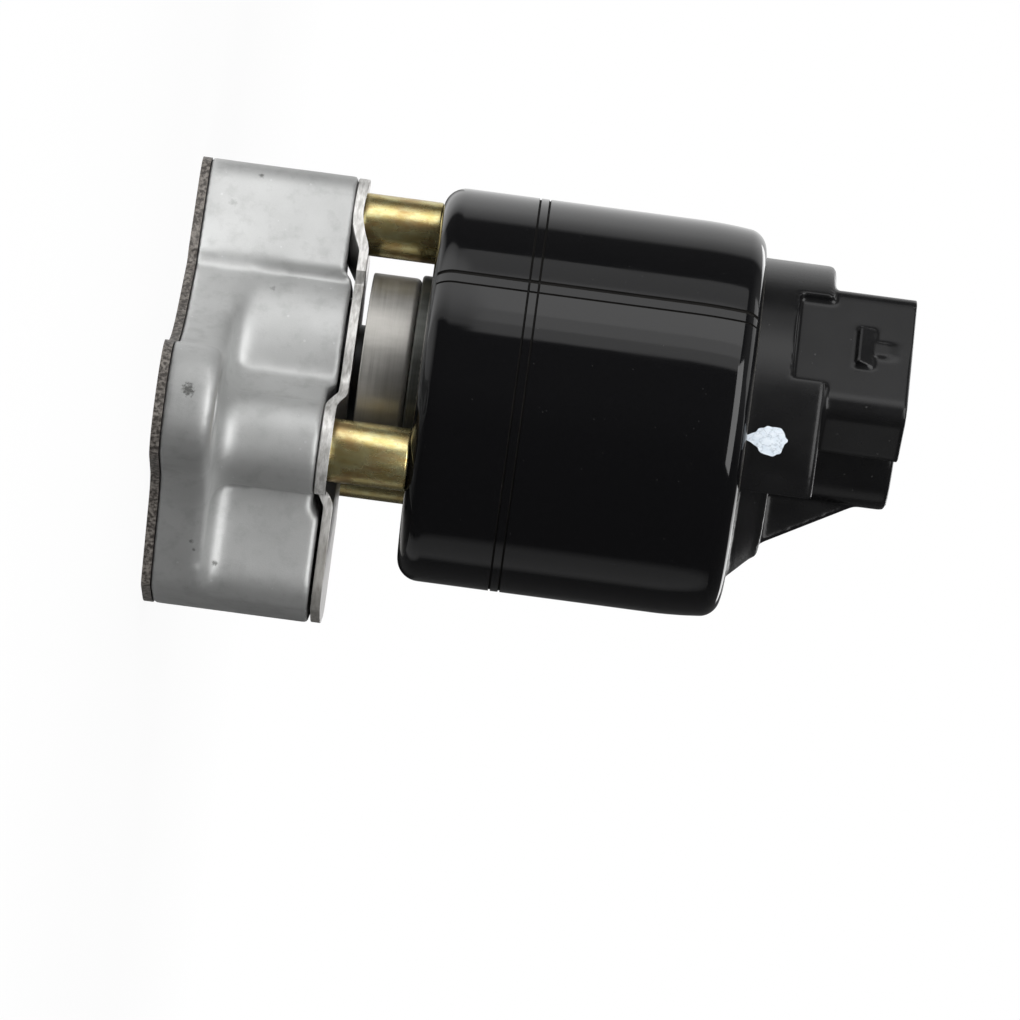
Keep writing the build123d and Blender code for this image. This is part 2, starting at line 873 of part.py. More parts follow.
def sensor_spring():
    """Light spring that keeps the sensor plunger on the stem."""
    return coil_spring(
        sensor_spring_mean_r, sensor_spring_wire_d, sensor_spring_turns, plunger_head_top_z, sensor_roof_z
    )


# ---- sensor cap and what it holds
def pin_offsets():
    """Sideways places of the connector pins."""
    middle = (pin_count - 1) / 2
    return [(index - middle) * pin_pitch for index in range(pin_count)]


outer_pin_offsets = (pin_offsets()[0], pin_offsets()[-1])


def terminal(offset_y):
    """One pin: a blade up into the socket, and a leg to the sensor card or to a coil lead."""
    half_t = pin_thickness / 2
    half_w = pin_width / 2
    tip_z = socket_z + pin_length
    leg_end = card_reach + card_thickness
    if offset_y in outer_pin_offsets:
        leg_end = lead_reach - lead_width / 2
    blade = block(
        (connector_reach - half_t, offset_y - half_w, pin_leg_z),
        (connector_reach + half_t, offset_y + half_w, tip_z),
    )
    blade = chamfer(blade.faces().sort_by(Axis.Z)[-1].edges(), pin_tip_chamfer)
    leg = block(
        (leg_end, offset_y - half_w, pin_leg_z),
        (connector_reach, offset_y + half_w, pin_leg_z + pin_thickness),
    )
    return blade + leg


def coil_lead(offset_y):
    """Square lead from the spool up to the leg of an outer pin."""
    half = lead_width / 2
    return block(
        (lead_reach - half, offset_y - half, bobbin_top_z),
        (lead_reach + half, offset_y + half, pin_leg_z),
    )


def sensor_card_blank(clearance):
    """Card of the position sensor, grown by a clearance to cut its slot."""
    half = card_width / 2 + clearance
    return block(
        (card_reach - clearance, -half, plunger_head_z - clearance),
        (card_reach + card_thickness + clearance, half, plunger_head_z + card_height + clearance),
    )


def cap_shell():
    """Outside of the cap: flange, stepped body, rim block, shroud, tower and ribs."""
    plug_r = rim_inner_r - cap_plug_clearance
    body_top = cap_body_top_z
    shell = turned(
        rounds(
            [
                (0, cap_z),
                (can_inner_r - cap_flange_clearance, cap_z),
                (can_inner_r - cap_flange_clearance, rim_under_z),
                (plug_r, rim_under_z),
                (plug_r, cap_body_z),
                (cap_body_r, cap_body_z),
                (cap_body_r, cap_body_z + cap_body_step),
                (cap_body_r - cap_body_chamfer, cap_body_z + cap_body_step + cap_body_chamfer),
                (cap_body_r - cap_body_chamfer, body_top),
                (0, body_top),
            ]
        )
    )
    far = 2 * rim_block_r
    side = far * math.sin(math.radians(rim_block_half_angle))
    along = far * math.cos(math.radians(rim_block_half_angle))
    wedge = closed_face(rounds([(0, 0), (along, -side), (far, -side), (far, side), (along, side)]))
    rim_block = prism(Circle(rim_block_r) & wedge, cap_body_z, rim_block_top_z)
    top_rim = rim_block.edges().filter_by(GeomType.CIRCLE).sort_by(Axis.Z)[-1]
    shell += fillet(top_rim, rim_block_edge)
    shroud = Pos(connector_reach, 0) * RectangleRounded(shroud_depth, shroud_width, shroud_corner_r)
    shell += prism(shroud, cap_body_z, shroud_top_z)
    tower = disc(tower_r, cap_body_z, tower_top_z)
    shell += fillet(tower.edges().filter_by(GeomType.CIRCLE).sort_by(Axis.Z)[-1], tower_edge)
    root = tower_r - tower_wall / 2
    rib_top = tower_top_z - rib_top_drop
    rib_side = [
        (root, cap_body_z),
        (rib_reach, cap_body_z),
        (rib_reach, body_top),
        (tower_r, rib_top),
        (root, rib_top),
    ]
    rib = extrude(Plane.XZ * closed_face(rounds(rib_side)), rib_thickness / 2, both=True)
    for side_turn in (-1, 1):
        shell += Rot(0, 0, side_turn * rib_angle) * rib
    return shell


def lock_ramp():
    """Lock nub on the shroud's outer face, steep towards the can, with its guide rib to the mouth."""
    root = shroud_face_reach - shroud_wall / 2
    face_x = shroud_face_reach
    low = shroud_top_z - ramp_below_mouth
    high = low + ramp_height
    nub = [(root, low), (face_x + ramp_rise, low), (face_x + ramp_rib_rise, high), (root, high)]
    rib = [
        (root, high),
        (face_x + ramp_rib_rise, high),
        (face_x + ramp_rib_rise, high + ramp_rib_height / 2),
        (face_x, high + ramp_rib_height),
        (root, high + ramp_rib_height),
    ]
    ramp = extrude(Plane.XZ * closed_face(rounds(nub)), ramp_width / 2, both=True)
    return ramp + extrude(Plane.XZ * closed_face(rounds(rib)), ramp_rib_width / 2, both=True)


def sensor_cap():
    """Moulded cap: sensor tower, five-way connector shroud and the flange under the can's rim."""
    cap = cap_shell() + lock_ramp()
    over = 1.0
    notch_half = latch_notch_width / 2
    notch_z = rim_block_top_z - latch_notch_rise
    cap -= block((shroud_face_reach, -notch_half, notch_z), (rim_block_r + over, notch_half, rim_block_top_z + over))
    socket = Pos(connector_reach, 0) * RectangleRounded(
        shroud_depth - 2 * shroud_wall, shroud_width - 2 * shroud_wall, socket_corner_r
    )
    cap -= prism(socket, socket_z, shroud_top_z + over)
    cap -= disc(guide_r, cap_z - over, sensor_floor_z + over)
    cap -= disc(tower_inner_r, sensor_floor_z, sensor_roof_z)
    cap -= sensor_card_blank(card_slot_clearance)
    for offset_y in pin_offsets():
        cap -= terminal(offset_y)
    for offset_y in outer_pin_offsets:
        cap -= coil_lead(offset_y)
    groove_r = seal_major_r - seal_section_d / 2 - seal_clearance
    groove_z = (cap_z + rim_under_z - seal_groove_height) / 2
    cap -= ring(can_inner_r, groove_r, groove_z, groove_z + seal_groove_height)
    return connector_place * cap


def cap_seal():
    """O-ring in the cap's flange, against the inside of the can."""
    return valve_place * Pos(0, 0, (cap_z + rim_under_z) / 2) * Torus(seal_major_r, seal_section_d / 2)


def sensor_guide():
    """Flanged bush for the sensor plunger."""
    bore_r = plunger_d / 2 + plunger_clearance
    return valve_place * turned(
        rounds(
            [
                (bore_r, cap_z),
                (guide_r, cap_z),
                (guide_r, sensor_floor_z),
                (guide_flange_r, sensor_floor_z),
                (guide_flange_r, sensor_floor_z + guide_flange),
                (bore_r, sensor_floor_z + guide_flange),
            ]
        )
    )


def sensor_card():
    """Resistive track card behind the wiper."""
    return connector_place * sensor_card_blank(0)


def sensor_plunger():
    """Rod on the end of the stem, with a square head and a spigot for its spring."""
    half = plunger_head / 2
    rod = disc(plunger_d / 2, stem_top_z + plunger_stem_gap, plunger_head_z)
    head = block((-half, -half, plunger_head_z), (half, half, plunger_head_top_z))
    spigot = disc(plunger_spigot_d / 2, plunger_head_top_z, plunger_head_top_z + plunger_spigot_height)
    return connector_place * (rod + head + spigot)


def sensor_wiper():
    """Spring contact on the plunger's head, bowed out to the card."""
    half = wiper_width / 2
    back = plunger_head / 2
    tip = card_reach - wiper_clearance
    low = plunger_head_z
    high = plunger_head_top_z
    middle = (low + high) / 2
    bow = [
        (back, low),
        (back + wiper_thickness, low),
        (back + wiper_thickness, high - 2 * wiper_thickness),
        (tip, middle + wiper_thickness),
        (tip, middle + 2 * wiper_thickness),
        (back + wiper_thickness, high),
        (back, high),
    ]
    return connector_place * extrude(Plane.XZ * closed_face(rounds(bow)), half, both=True)


parts = {
    "mounting_gasket": mounting_gasket(),
    "valve_base": valve_base(),
    "valve_seat": valve_seat(),
    "stem_bush": stem_bush(),
    "gas_deflector": gas_deflector(),
    "clamp_plate": clamp_plate(),
    "base_screws": Compound(at_screws(base_screw())),
    "stem_shield": stem_shield(),
    "shield_collar": shield_collar(),
    "coil_housing": coil_housing(),
    "lower_pole": lower_pole(),
    "upper_pole": upper_pole(),
    "armature_sleeve": armature_sleeve(),
    "coil_bobbin": coil_bobbin(),
    "coil_winding": coil_winding(),
    "coil_leads": Compound([connector_place * coil_lead(offset_y) for offset_y in outer_pin_offsets]),
    "pintle": pintle(),
    "armature": armature(),
    "armature_nut": armature_nut(),
    "return_spring": return_spring(),
    "sensor_cap": sensor_cap(),
    "cap_seal": cap_seal(),
    "sensor_guide": sensor_guide(),
    "sensor_card": sensor_card(),
    "sensor_plunger": sensor_plunger(),
    "sensor_wiper": sensor_wiper(),
    "sensor_spring": sensor_spring(),
}
for number, spacer in enumerate(at_screws(standoff()), start=1):
    parts[f"standoff_{number}"] = spacer
for number, offset_y in enumerate(pin_offsets(), start=1):
    parts[f"terminal_{number}"] = connector_place * terminal(offset_y)

for name, shape in parts.items():
    export_step(shape, f"parts/{name}.step")
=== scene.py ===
# Solenoid gas valve: finishes and finer shapes over the measured frame.
import bpy, bmesh, math
from mathutils import Vector, Matrix, noise


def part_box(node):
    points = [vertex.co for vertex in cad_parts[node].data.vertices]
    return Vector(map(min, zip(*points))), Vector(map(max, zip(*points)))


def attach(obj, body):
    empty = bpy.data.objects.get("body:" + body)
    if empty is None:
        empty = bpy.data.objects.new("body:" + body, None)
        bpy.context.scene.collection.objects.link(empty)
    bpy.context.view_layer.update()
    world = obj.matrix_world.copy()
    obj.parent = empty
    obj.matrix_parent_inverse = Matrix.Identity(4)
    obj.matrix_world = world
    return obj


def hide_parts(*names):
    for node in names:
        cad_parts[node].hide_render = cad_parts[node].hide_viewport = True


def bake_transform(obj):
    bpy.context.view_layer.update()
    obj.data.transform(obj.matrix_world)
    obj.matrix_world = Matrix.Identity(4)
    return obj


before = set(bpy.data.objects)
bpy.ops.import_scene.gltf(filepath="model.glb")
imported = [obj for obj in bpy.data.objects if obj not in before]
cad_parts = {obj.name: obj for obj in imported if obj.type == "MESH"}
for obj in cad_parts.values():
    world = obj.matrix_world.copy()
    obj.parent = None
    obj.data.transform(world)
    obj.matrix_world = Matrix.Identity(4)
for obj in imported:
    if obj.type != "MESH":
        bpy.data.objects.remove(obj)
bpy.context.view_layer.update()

mm = 0.001
bodyName = "valve"


# measures of the frame's turned parts, in millimetres
def middleOf(nodeName):
    low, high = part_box(nodeName)
    middle = (low + high) / 2 / mm
    return round(middle.x, 1), round(middle.y, 1)


def reachOf(nodeName):
    # the outer radius and the two levels of a part that stands at x = 0
    low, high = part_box(nodeName)
    return {"outer": round(high.x / mm, 2), "bottom": round(low.z / mm, 2), "top": round(high.z / mm, 2)}


axisY = middleOf("coil_housing")[1]  # the valve's axis stands at x = 0 and this y
spinWeld = 0.0005  # points of a turned part closer than this are one
copyForm = {"weld": 0.001, "flatAngle": 0.3, "hardAngle": 28, "segments": 2}


# meshes are made in millimetres, and newPiece brings them to metres
def newPiece(bm, name, finish, replaced=(), sharpAngle=35, squeezed=None):
    # squeezed names the body that presses on the piece and two levels, but only whether it is given is used:
    # a squeezed piece has its place baked in and is not attached to the valve's body
    bmesh.ops.scale(bm, vec=(mm, mm, mm), verts=bm.verts)
    mesh = bpy.data.meshes.new(name)
    bm.to_mesh(mesh)
    bm.free()
    mesh.shade_smooth()
    mesh.set_sharp_from_angle(angle=math.radians(sharpAngle))
    mesh.materials.append(finish)
    piece = bpy.data.objects.new(name, mesh)
    bpy.context.scene.collection.objects.link(piece)
    if squeezed:
        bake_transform(piece)
    else:
        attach(piece, bodyName)
    if replaced:
        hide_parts(*replaced)
    return piece


def roundedLoop(bm, corners, segments):
    # a closed section in the plane through the valve's axis, each corner rounded by its own radius
    points = [Vector((radius, axisY, level)) for radius, level, _ in corners]
    verts = [bm.verts.new(point) for point in points]
    bm.faces.new(verts)
    for index, (_, _, bend) in enumerate(corners):
        if not bend:
            continue
        before = (points[index - 1] - points[index]).normalized()
        after = (points[(index + 1) % len(points)] - points[index]).normalized()
        reach = bend / math.tan(before.angle(after) / 2)
        bmesh.ops.bevel(bm, geom=[verts[index]], offset=reach, offset_type="OFFSET", affect="VERTICES",
                        segments=segments, profile=0.5, material=-1)
    bmesh.ops.delete(bm, geom=list(bm.faces), context="FACES_ONLY")


def turnedShape(corners, steps=144, segments=6, centre=(0, axisY)):
    bm = bmesh.new()
    roundedLoop(bm, corners, segments)
    bmesh.ops.spin(bm, geom=list(bm.verts) + list(bm.edges), cent=(0, axisY, 0), axis=(0, 0, 1),
                   dvec=(0, 0, 0), angle=2 * math.pi, steps=steps, use_merge=True, use_duplicate=False)
    bmesh.ops.remove_doubles(bm, verts=bm.verts, dist=spinWeld)
    bmesh.ops.recalc_face_normals(bm, faces=bm.faces)
    bmesh.ops.translate(bm, vec=(centre[0], centre[1] - axisY, 0), verts=bm.verts)
    return bm


def trimmedCopy(nodeName, edge):
    # a copy of a measured part with its loose triangles joined, and its hard edges broken by edge
    bm = bmesh.new()
    bm.from_mesh(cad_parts[nodeName].data)
    bmesh.ops.scale(bm, vec=(1 / mm, 1 / mm, 1 / mm), verts=bm.verts)
    bmesh.ops.remove_doubles(bm, verts=bm.verts, dist=copyForm["weld"])
    flatAngle = math.radians(copyForm["flatAngle"])
    bmesh.ops.dissolve_limit(bm, angle_limit=flatAngle, verts=bm.verts, edges=bm.edges)
    if edge:
        hardAngle = math.radians(copyForm["hardAngle"])
        hard = [e for e in bm.edges if len(e.link_faces) == 2 and e.calc_face_angle(0) > hardAngle]
        bmesh.ops.bevel(bm, geom=hard, offset=edge, offset_type="OFFSET", affect="EDGES",
                        segments=copyForm["segments"], profile=0.5, material=-1, clamp_overlap=False)
    return bm


# helpers for materials
def startFinish(name):
    finish = bpy.data.materials.new(name)
    finish.use_nodes = True
    return finish, finish.node_tree, finish.node_tree.nodes["Principled BSDF"]


def addNode(tree, kind, inputs=None, **settings):
    node = tree.nodes.new(kind)
    for key, value in settings.items():
        setattr(node, key, value)
    for key, value in (inputs or {}).items():
        if isinstance(value, bpy.types.NodeSocket):
            tree.links.new(value, node.inputs[key])
        else:
            node.inputs[key].default_value = value
    return node


def place(tree, scale=(1, 1, 1), turn=(0, 0, 0), shift=(0, 0, 0)):
    coords = addNode(tree, "ShaderNodeTexCoord")
    return addNode(tree, "ShaderNodeMapping", {"Vector": coords.outputs["Object"], "Scale": scale,
                   "Rotation": turn, "Location": shift}).outputs["Vector"]


def noiseAt(tree, vector, size, detail=2.0, rough=0.5):
    # a noise whose blobs are about size millimetres across
    return addNode(tree, "ShaderNodeTexNoise", {"Vector": vector, "Scale": 1 / mm / size, "Detail": detail,
                   "Roughness": rough}).outputs["Fac"]


def spread(tree, value, low, high, outLow=0.0, outHigh=1.0):
    return addNode(tree, "ShaderNodeMapRange", {"Value": value, "From Min": low, "From Max": high,
                   "To Min": outLow, "To Max": outHigh}).outputs["Result"]


def evenly(tree, noiseValue, outLow=0.0, outHigh=1.0):
    # nearly all of a noise lies between 0.3 and 0.7
    return spread(tree, noiseValue, 0.3, 0.7, outLow, outHigh)


def maths(tree, operation, a, b=0.0, clamp=False):
    return addNode(tree, "ShaderNodeMath", {0: a, 1: b}, operation=operation, use_clamp=clamp).outputs[0]


def vectorMaths(tree, operation, result, *vectors):
    # result is the output that the operation fills: Vector or Value
    node = addNode(tree, "ShaderNodeVectorMath", dict(enumerate(vectors)), operation=operation)
    return node.outputs[result]


def axisPart(tree, vector, axis):
    return addNode(tree, "ShaderNodeSeparateXYZ", {"Vector": vector}).outputs[axis]


def levelness(tree):
    # 1 on a level face, 0 on an upright one
    normal = addNode(tree, "ShaderNodeNewGeometry").outputs["Normal"]
    return maths(tree, "ABSOLUTE", axisPart(tree, normal, "Z"))


def blendColours(tree, amount, under, over):
    # under shows where amount is 0, over where it is 1; each is a colour or what another node puts out
    colours = [c if isinstance(c, bpy.types.NodeSocket) else (*c, 1) for c in (under, over)]
    # a colour mix has its factor at socket 0, its colours at 6 and 7, and its result at 2
    inputs = {0: amount, 6: colours[0], 7: colours[1]}
    return addNode(tree, "ShaderNodeMix", inputs, data_type="RGBA").outputs[2]


def dress(tree, shader, colour, rough, fixed=None):
    # colour and rough change over the surface, and what is fixed is the same all over it
    tree.links.new(colour, shader.inputs["Base Color"])
    tree.links.new(rough, shader.inputs["Roughness"])
    for label, value in (fixed or {}).items():
        shader.inputs[label].default_value = value


def emboss(tree, shader, height, depth, strength):
    bump = addNode(tree, "ShaderNodeBump", {"Height": height, "Distance": depth * mm, "Strength": strength})
    tree.links.new(bump.outputs["Normal"], shader.inputs["Normal"])


# effects that are used more than once, each a group that puts out a mask
def newMaskGroup(name, inputs):
    # inputs are the usual values, where None makes the socket a vector
    tree = bpy.data.node_groups.new(name, "ShaderNodeTree")
    for label, value in inputs.items():
        kind = "NodeSocketVector" if value is None else "NodeSocketFloat"
        socket = tree.interface.new_socket(label, in_out="INPUT", socket_type=kind)
        if value is not None:
            socket.default_value = value
    tree.interface.new_socket("Mask", in_out="OUTPUT", socket_type="NodeSocketFloat")
    return tree, addNode(tree, "NodeGroupInput").outputs, addNode(tree, "NodeGroupOutput").inputs["Mask"]


def makeDustGroup():
    # small dots, one in each of the chosen cells; Amount is the share of cells that are chosen
    tree, given, mask = newMaskGroup("dustDots", {"Vector": None, "Scale": 700.0, "Amount": 0.2,
                                                  "Radius": 0.2})
    cells = addNode(tree, "ShaderNodeTexVoronoi", {"Vector": given["Vector"], "Scale": given["Scale"]})
    chance = addNode(tree, "ShaderNodeSeparateColor", {"Color": cells.outputs["Color"]}).outputs["Red"]
    chosen = maths(tree, "LESS_THAN", chance, given["Amount"])
    near = maths(tree, "LESS_THAN", cells.outputs["Distance"], given["Radius"])
    tree.links.new(maths(tree, "MULTIPLY", chosen, near), mask)
    return tree


scratchForm = {"stretch": (0.03, 1.0, 1.0), "detail": 2.0, "sharpness": 6.0}


def makeScratchGroup(form):
    # fine lines along the first axis of the vector it is given
    tree, given, mask = newMaskGroup("fineScratches", {"Vector": None, "Fineness": 3000.0, "Cut": 0.62})
    stretched = vectorMaths(tree, "MULTIPLY", "Vector", given["Vector"], form["stretch"])
    lines = addNode(tree, "ShaderNodeTexNoise", {"Vector": stretched, "Scale": given["Fineness"],
                    "Detail": form["detail"]}).outputs["Fac"]
    over = maths(tree, "SUBTRACT", lines, given["Cut"])
    tree.links.new(maths(tree, "MULTIPLY", over, form["sharpness"], clamp=True), mask)
    return tree


spotForm = {"outline": (0.35, 3.0, 0.6), "ragged": 0.45, "core": 0.35}


def makeSpotGroup(form):
    # one soft-edged spot with a ragged outline
    tree, given, mask = newMaskGroup("raggedSpot", {"Vector": None, "Centre": None, "Radius": 0.001})
    outline = noiseAt(tree, given["Vector"], *form["outline"])
    away = vectorMaths(tree, "DISTANCE", "Value", given["Vector"], given["Centre"])
    share = maths(tree, "DIVIDE", away, given["Radius"])
    share = maths(tree, "ADD", share, evenly(tree, outline, -form["ragged"], form["ragged"]))
    tree.links.new(spread(tree, share, form["core"], 1.0, 1.0, 0.0), mask)
    return tree


dustGroup = makeDustGroup()
scratchGroup = makeScratchGroup(scratchForm)
spotGroup = makeSpotGroup(spotForm)


def useGroup(tree, groupTree, **inputs):
    return addNode(tree, "ShaderNodeGroup", inputs, node_tree=groupTree).outputs["Mask"]


# finishes: a noise is given as its size in millimetres, its detail and its roughness
castingLook = {
    "light": (0.545, 0.55, 0.545), "dark": (0.465, 0.47, 0.465), "cloud": (9.0, 4.0),
    "stainAndShade": (0.10, 0.10, 0.095), "smudge": 0.16, "smudgeNoise": (2.4, 5.0, 0.65),
    "smudgeSpread": (0.50, 0.70),
    "flakes": {"Scale": 900.0, "Amount": 0.10, "Radius": 0.16}, "flakeColour": (0.78, 0.79, 0.80),
    "flakeShare": 0.25, "pits": {"Scale": 260.0, "Amount": 0.05, "Radius": 0.10}, "pitShare": 0.8,
    "metal": 0.75, "roughLow": 0.50, "roughHigh": 0.60, "grain": 0.16, "cloudShare": 2.0, "depth": 0.02,
    "strength": 0.6,
    # pits and nicks, each running along x: its y, its z, its radius and how dark it is
    "marks": ((-33.2, 8.2, 0.40, 0.75), (-18.0, 12.0, 0.45, 0.35), (-1.1, 4.1, 1.0, 0.85),
              (19.6, 9.3, 0.45, 0.8), (17.3, 6.1, 0.35, 0.6), (18.3, 6.5, 0.25, 0.6),
              (-29.0, 5.0, 0.6, 0.25)),
}


def makeCasting(look):
    finish, tree, shader = startFinish("castAluminium")
    here = place(tree)
    cloud = noiseAt(tree, here, *look["cloud"])
    grain = noiseAt(tree, here, look["grain"])
    flakes = useGroup(tree, dustGroup, Vector=here, **look["flakes"])
    pits = useGroup(tree, dustGroup, Vector=here, **look["pits"])
    smudge = noiseAt(tree, here, *look["smudgeNoise"])
    smudge = spread(tree, smudge, *look["smudgeSpread"], 0.0, look["smudge"])
    base = blendColours(tree, evenly(tree, cloud), look["dark"], look["light"])
    base = blendColours(tree, smudge, base, look["stainAndShade"])
    base = blendColours(tree, maths(tree, "MULTIPLY", flakes, look["flakeShare"]), base, look["flakeColour"])
    base = blendColours(tree, maths(tree, "MULTIPLY", pits, look["pitShare"]), base, look["stainAndShade"])
    flat = place(tree, scale=(0, 1, 1))
    dents = pits
    for y, z, radius, darkness in look["marks"]:
        spot = useGroup(tree, spotGroup, Vector=flat, Centre=(0, y * mm, z * mm), Radius=radius * mm)
        base = blendColours(tree, maths(tree, "MULTIPLY", spot, darkness), base, look["stainAndShade"])
        dents = maths(tree, "MAXIMUM", dents, spot)
    rough = evenly(tree, grain, look["roughLow"], look["roughHigh"])
    dress(tree, shader, base, rough, {"Metallic": look["metal"]})
    height = maths(tree, "ADD", grain, maths(tree, "MULTIPLY", cloud, look["cloudShare"]))
    emboss(tree, shader, maths(tree, "SUBTRACT", height, dents), look["depth"], look["strength"])
    return finish


steelLook = {"cloud": (5.0, 4.0), "polished": 0.85, "worn": 1.2, "depth": 0.004,
             "scratches": {"Fineness": 2600.0, "Cut": 0.6}, "scratchShare": 0.3}


def makeSteel(name, colour, dark, roughness, scratch, metal=1.0, look=steelLook):
    finish, tree, shader = startFinish(name)
    here = place(tree)
    cloud = noiseAt(tree, here, *look["cloud"])
    lines = useGroup(tree, scratchGroup, Vector=here, **look["scratches"])
    rough = maths(tree, "ADD", evenly(tree, cloud, roughness * look["polished"], roughness * look["worn"]),
                  maths(tree, "MULTIPLY", lines, scratch * look["scratchShare"]))
    dress(tree, shader, blendColours(tree, evenly(tree, cloud), dark, colour), rough, {"Metallic": metal})
    emboss(tree, shader, lines, look["depth"], scratch)
    return finish


turnedLook = {
    "rings": (0.22, 3.0, 0.6), "ringStretch": (0.02, 0.02, 1),
    "cloud": (1.6, 4.0, 0.6), "cloudStretch": (1, 1, 0.3),
    "shade": (0.75, 1.25), "polished": 0.85, "worn": 1.15, "depth": 0.006, "strength": 0.4,
    "dust": (0.7, 5.0, 0.7), "dustSpread": (0.5, 0.6), "dustAndHighlightFade": 0.15, "dustColour": (0.30, 0.30, 0.27),
}


def makeTurned(name, colour, dark, roughness, metal, dustAndHighlightFrom=None, look=turnedLook):
    # fine rings round the valve's axis; above the given height a lighter band sits in the corner: dust, and
    # partly a painted highlight along that edge
    finish, tree, shader = startFinish(name)
    here = place(tree)
    rings = noiseAt(tree, place(tree, scale=look["ringStretch"]), *look["rings"])
    cloud = noiseAt(tree, place(tree, scale=look["cloudStretch"]), *look["cloud"])
    shade = spread(tree, maths(tree, "ADD", rings, cloud), *look["shade"])
    base = blendColours(tree, shade, dark, colour)
    rough = evenly(tree, rings, roughness * look["polished"], roughness * look["worn"])
    if dustAndHighlightFrom is not None:
        # the lighter band in the corner: dust, and partly a painted highlight
        above = spread(tree, axisPart(tree, here, "Z"), dustAndHighlightFrom * mm, (dustAndHighlightFrom + look["dustAndHighlightFade"]) * mm)
        patches = spread(tree, noiseAt(tree, here, *look["dust"]), *look["dustSpread"])
        dust = maths(tree, "MULTIPLY", above, patches)
        base = blendColours(tree, dust, base, look["dustColour"])
        rough = maths(tree, "MAXIMUM", rough, dust)
    dress(tree, shader, base, rough, {"Metallic": metal})
    emboss(tree, shader, rings, look["depth"], look["strength"])
    return finish


plasticLook = {
    "cloud": (7.0, 4.0), "cloudSpread": (0.35, 0.75), "texture": (0.12, 1.0), "depth": 0.006, "strength": 0.5,
    "dust": {"Scale": 1100.0, "Amount": 0.05, "Radius": 0.14}, "dustShare": 0.10,
    "dustColour": (0.35, 0.35, 0.34), "smooth": 0.9, "worn": 1.12,
}


def makePlastic(name, colour, light, roughness, shine=0.5, look=plasticLook):
    finish, tree, shader = startFinish(name)
    here = place(tree)
    cloud = noiseAt(tree, here, *look["cloud"])
    dust = useGroup(tree, dustGroup, Vector=here, **look["dust"])
    base = blendColours(tree, spread(tree, cloud, *look["cloudSpread"]), colour, light)
    base = blendColours(tree, maths(tree, "MULTIPLY", dust, look["dustShare"]), base, look["dustColour"])
    rough = evenly(tree, cloud, roughness * look["smooth"], roughness * look["worn"])
    dress(tree, shader, base, rough, {"Specular IOR Level": shine})
    emboss(tree, shader, noiseAt(tree, here, *look["texture"]), look["depth"], look["strength"])
    return finish


goldLook = {
    "yellow": (0.56, 0.45, 0.18), "pale": (0.66, 0.61, 0.32), "streaks": (0.9, 3.0, 0.55),
    "stretch": (1, 1, 0.5), "streakSpread": (0.36, 0.64), "brown": (0.40, 0.24, 0.10),
    "brownCloud": (2.2, 4.0, 0.6), "brownSpread": (0.46, 0.64), "brownShare": 0.7,
    "pits": {"Scale": 1900.0, "Amount": 0.30, "Radius": 0.22},
    "pitColour": (0.16, 0.10, 0.05), "pitShare": 0.35, "roughLow": 0.21, "roughHigh": 0.32, "metal": 0.9,
    "depth": 0.005, "strength": 0.4,
}


def makeGold(look):
    finish, tree, shader = startFinish("goldPassivate")
    stretched = place(tree, scale=look["stretch"])
    streaks = noiseAt(tree, stretched, *look["streaks"])
    cloud = noiseAt(tree, stretched, *look["brownCloud"])
    pits = useGroup(tree, dustGroup, Vector=place(tree), **look["pits"])
    brown = maths(tree, "MULTIPLY", spread(tree, cloud, *look["brownSpread"]), look["brownShare"])
    base = blendColours(tree, spread(tree, streaks, *look["streakSpread"]), look["yellow"], look["pale"])
    base = blendColours(tree, brown, base, look["brown"])
    base = blendColours(tree, maths(tree, "MULTIPLY", pits, look["pitShare"]), base, look["pitColour"])
    rough = evenly(tree, cloud, look["roughLow"], look["roughHigh"])
    dress(tree, shader, base, rough, {"Metallic": look["metal"]})
    emboss(tree, shader, maths(tree, "SUBTRACT", streaks, pits), look["depth"], look["strength"])
    return finish


enamelLook = {
    "black": (0.0035, 0.0035, 0.004), "shine": 0.36, "film": (14.0, 5.0, 0.6), "filmSpread": (0.45, 0.75),
    "roughLow": 0.06, "roughHigh": 0.11, "peel": (1.6, 2.0), "waves": (11.0, 1.0), "waveShare": 5.0,
    "depth": 0.004, "strength": 0.35,
    "dust": {"Scale": 1100.0, "Amount": 0.16, "Radius": 0.08}, "dustShare": 0.16,
    "dustColour": (0.16, 0.16, 0.155),
    # worn paint on the lip rolled over the cap, lighter there: partly a painted highlight along the lip
    "lipFrom": 76.55, "lipTo": 76.8, "lipNoise": (0.7, 5.0, 0.7), "lipSpread": (0.25, 0.8), "lipWearAndHighlightShare": 0.8,
    "lipWearAndHighlightColour": (0.22, 0.21, 0.19), "lipRough": 0.5,
}


def makeEnamel(look):
    finish, tree, shader = startFinish("blackEnamel")
    here = place(tree)
    peel = noiseAt(tree, here, *look["peel"])
    waves = noiseAt(tree, here, *look["waves"])
    film = noiseAt(tree, here, *look["film"])
    dust = useGroup(tree, dustGroup, Vector=here, **look["dust"])
    above = spread(tree, axisPart(tree, here, "Z"), look["lipFrom"] * mm, look["lipTo"] * mm)
    worn = spread(tree, noiseAt(tree, here, *look["lipNoise"]), *look["lipSpread"])
    # the lighter lip is worn paint, and partly a painted highlight along the lip
    lip = maths(tree, "MULTIPLY", above, worn)
    dust = maths(tree, "MULTIPLY", dust, look["dustShare"])
    base = blendColours(tree, dust, look["black"], look["dustColour"])
    base = blendColours(tree, maths(tree, "MULTIPLY", lip, look["lipWearAndHighlightShare"]), base, look["lipWearAndHighlightColour"])
    rough = maths(tree, "ADD", spread(tree, film, *look["filmSpread"], look["roughLow"], look["roughHigh"]),
                  maths(tree, "MULTIPLY", lip, look["lipRough"]))
    dress(tree, shader, base, rough, {"Specular IOR Level": look["shine"]})
    height = maths(tree, "ADD", peel, maths(tree, "MULTIPLY", waves, look["waveShare"]))
    emboss(tree, shader, height, look["depth"], look["strength"])
    return finish


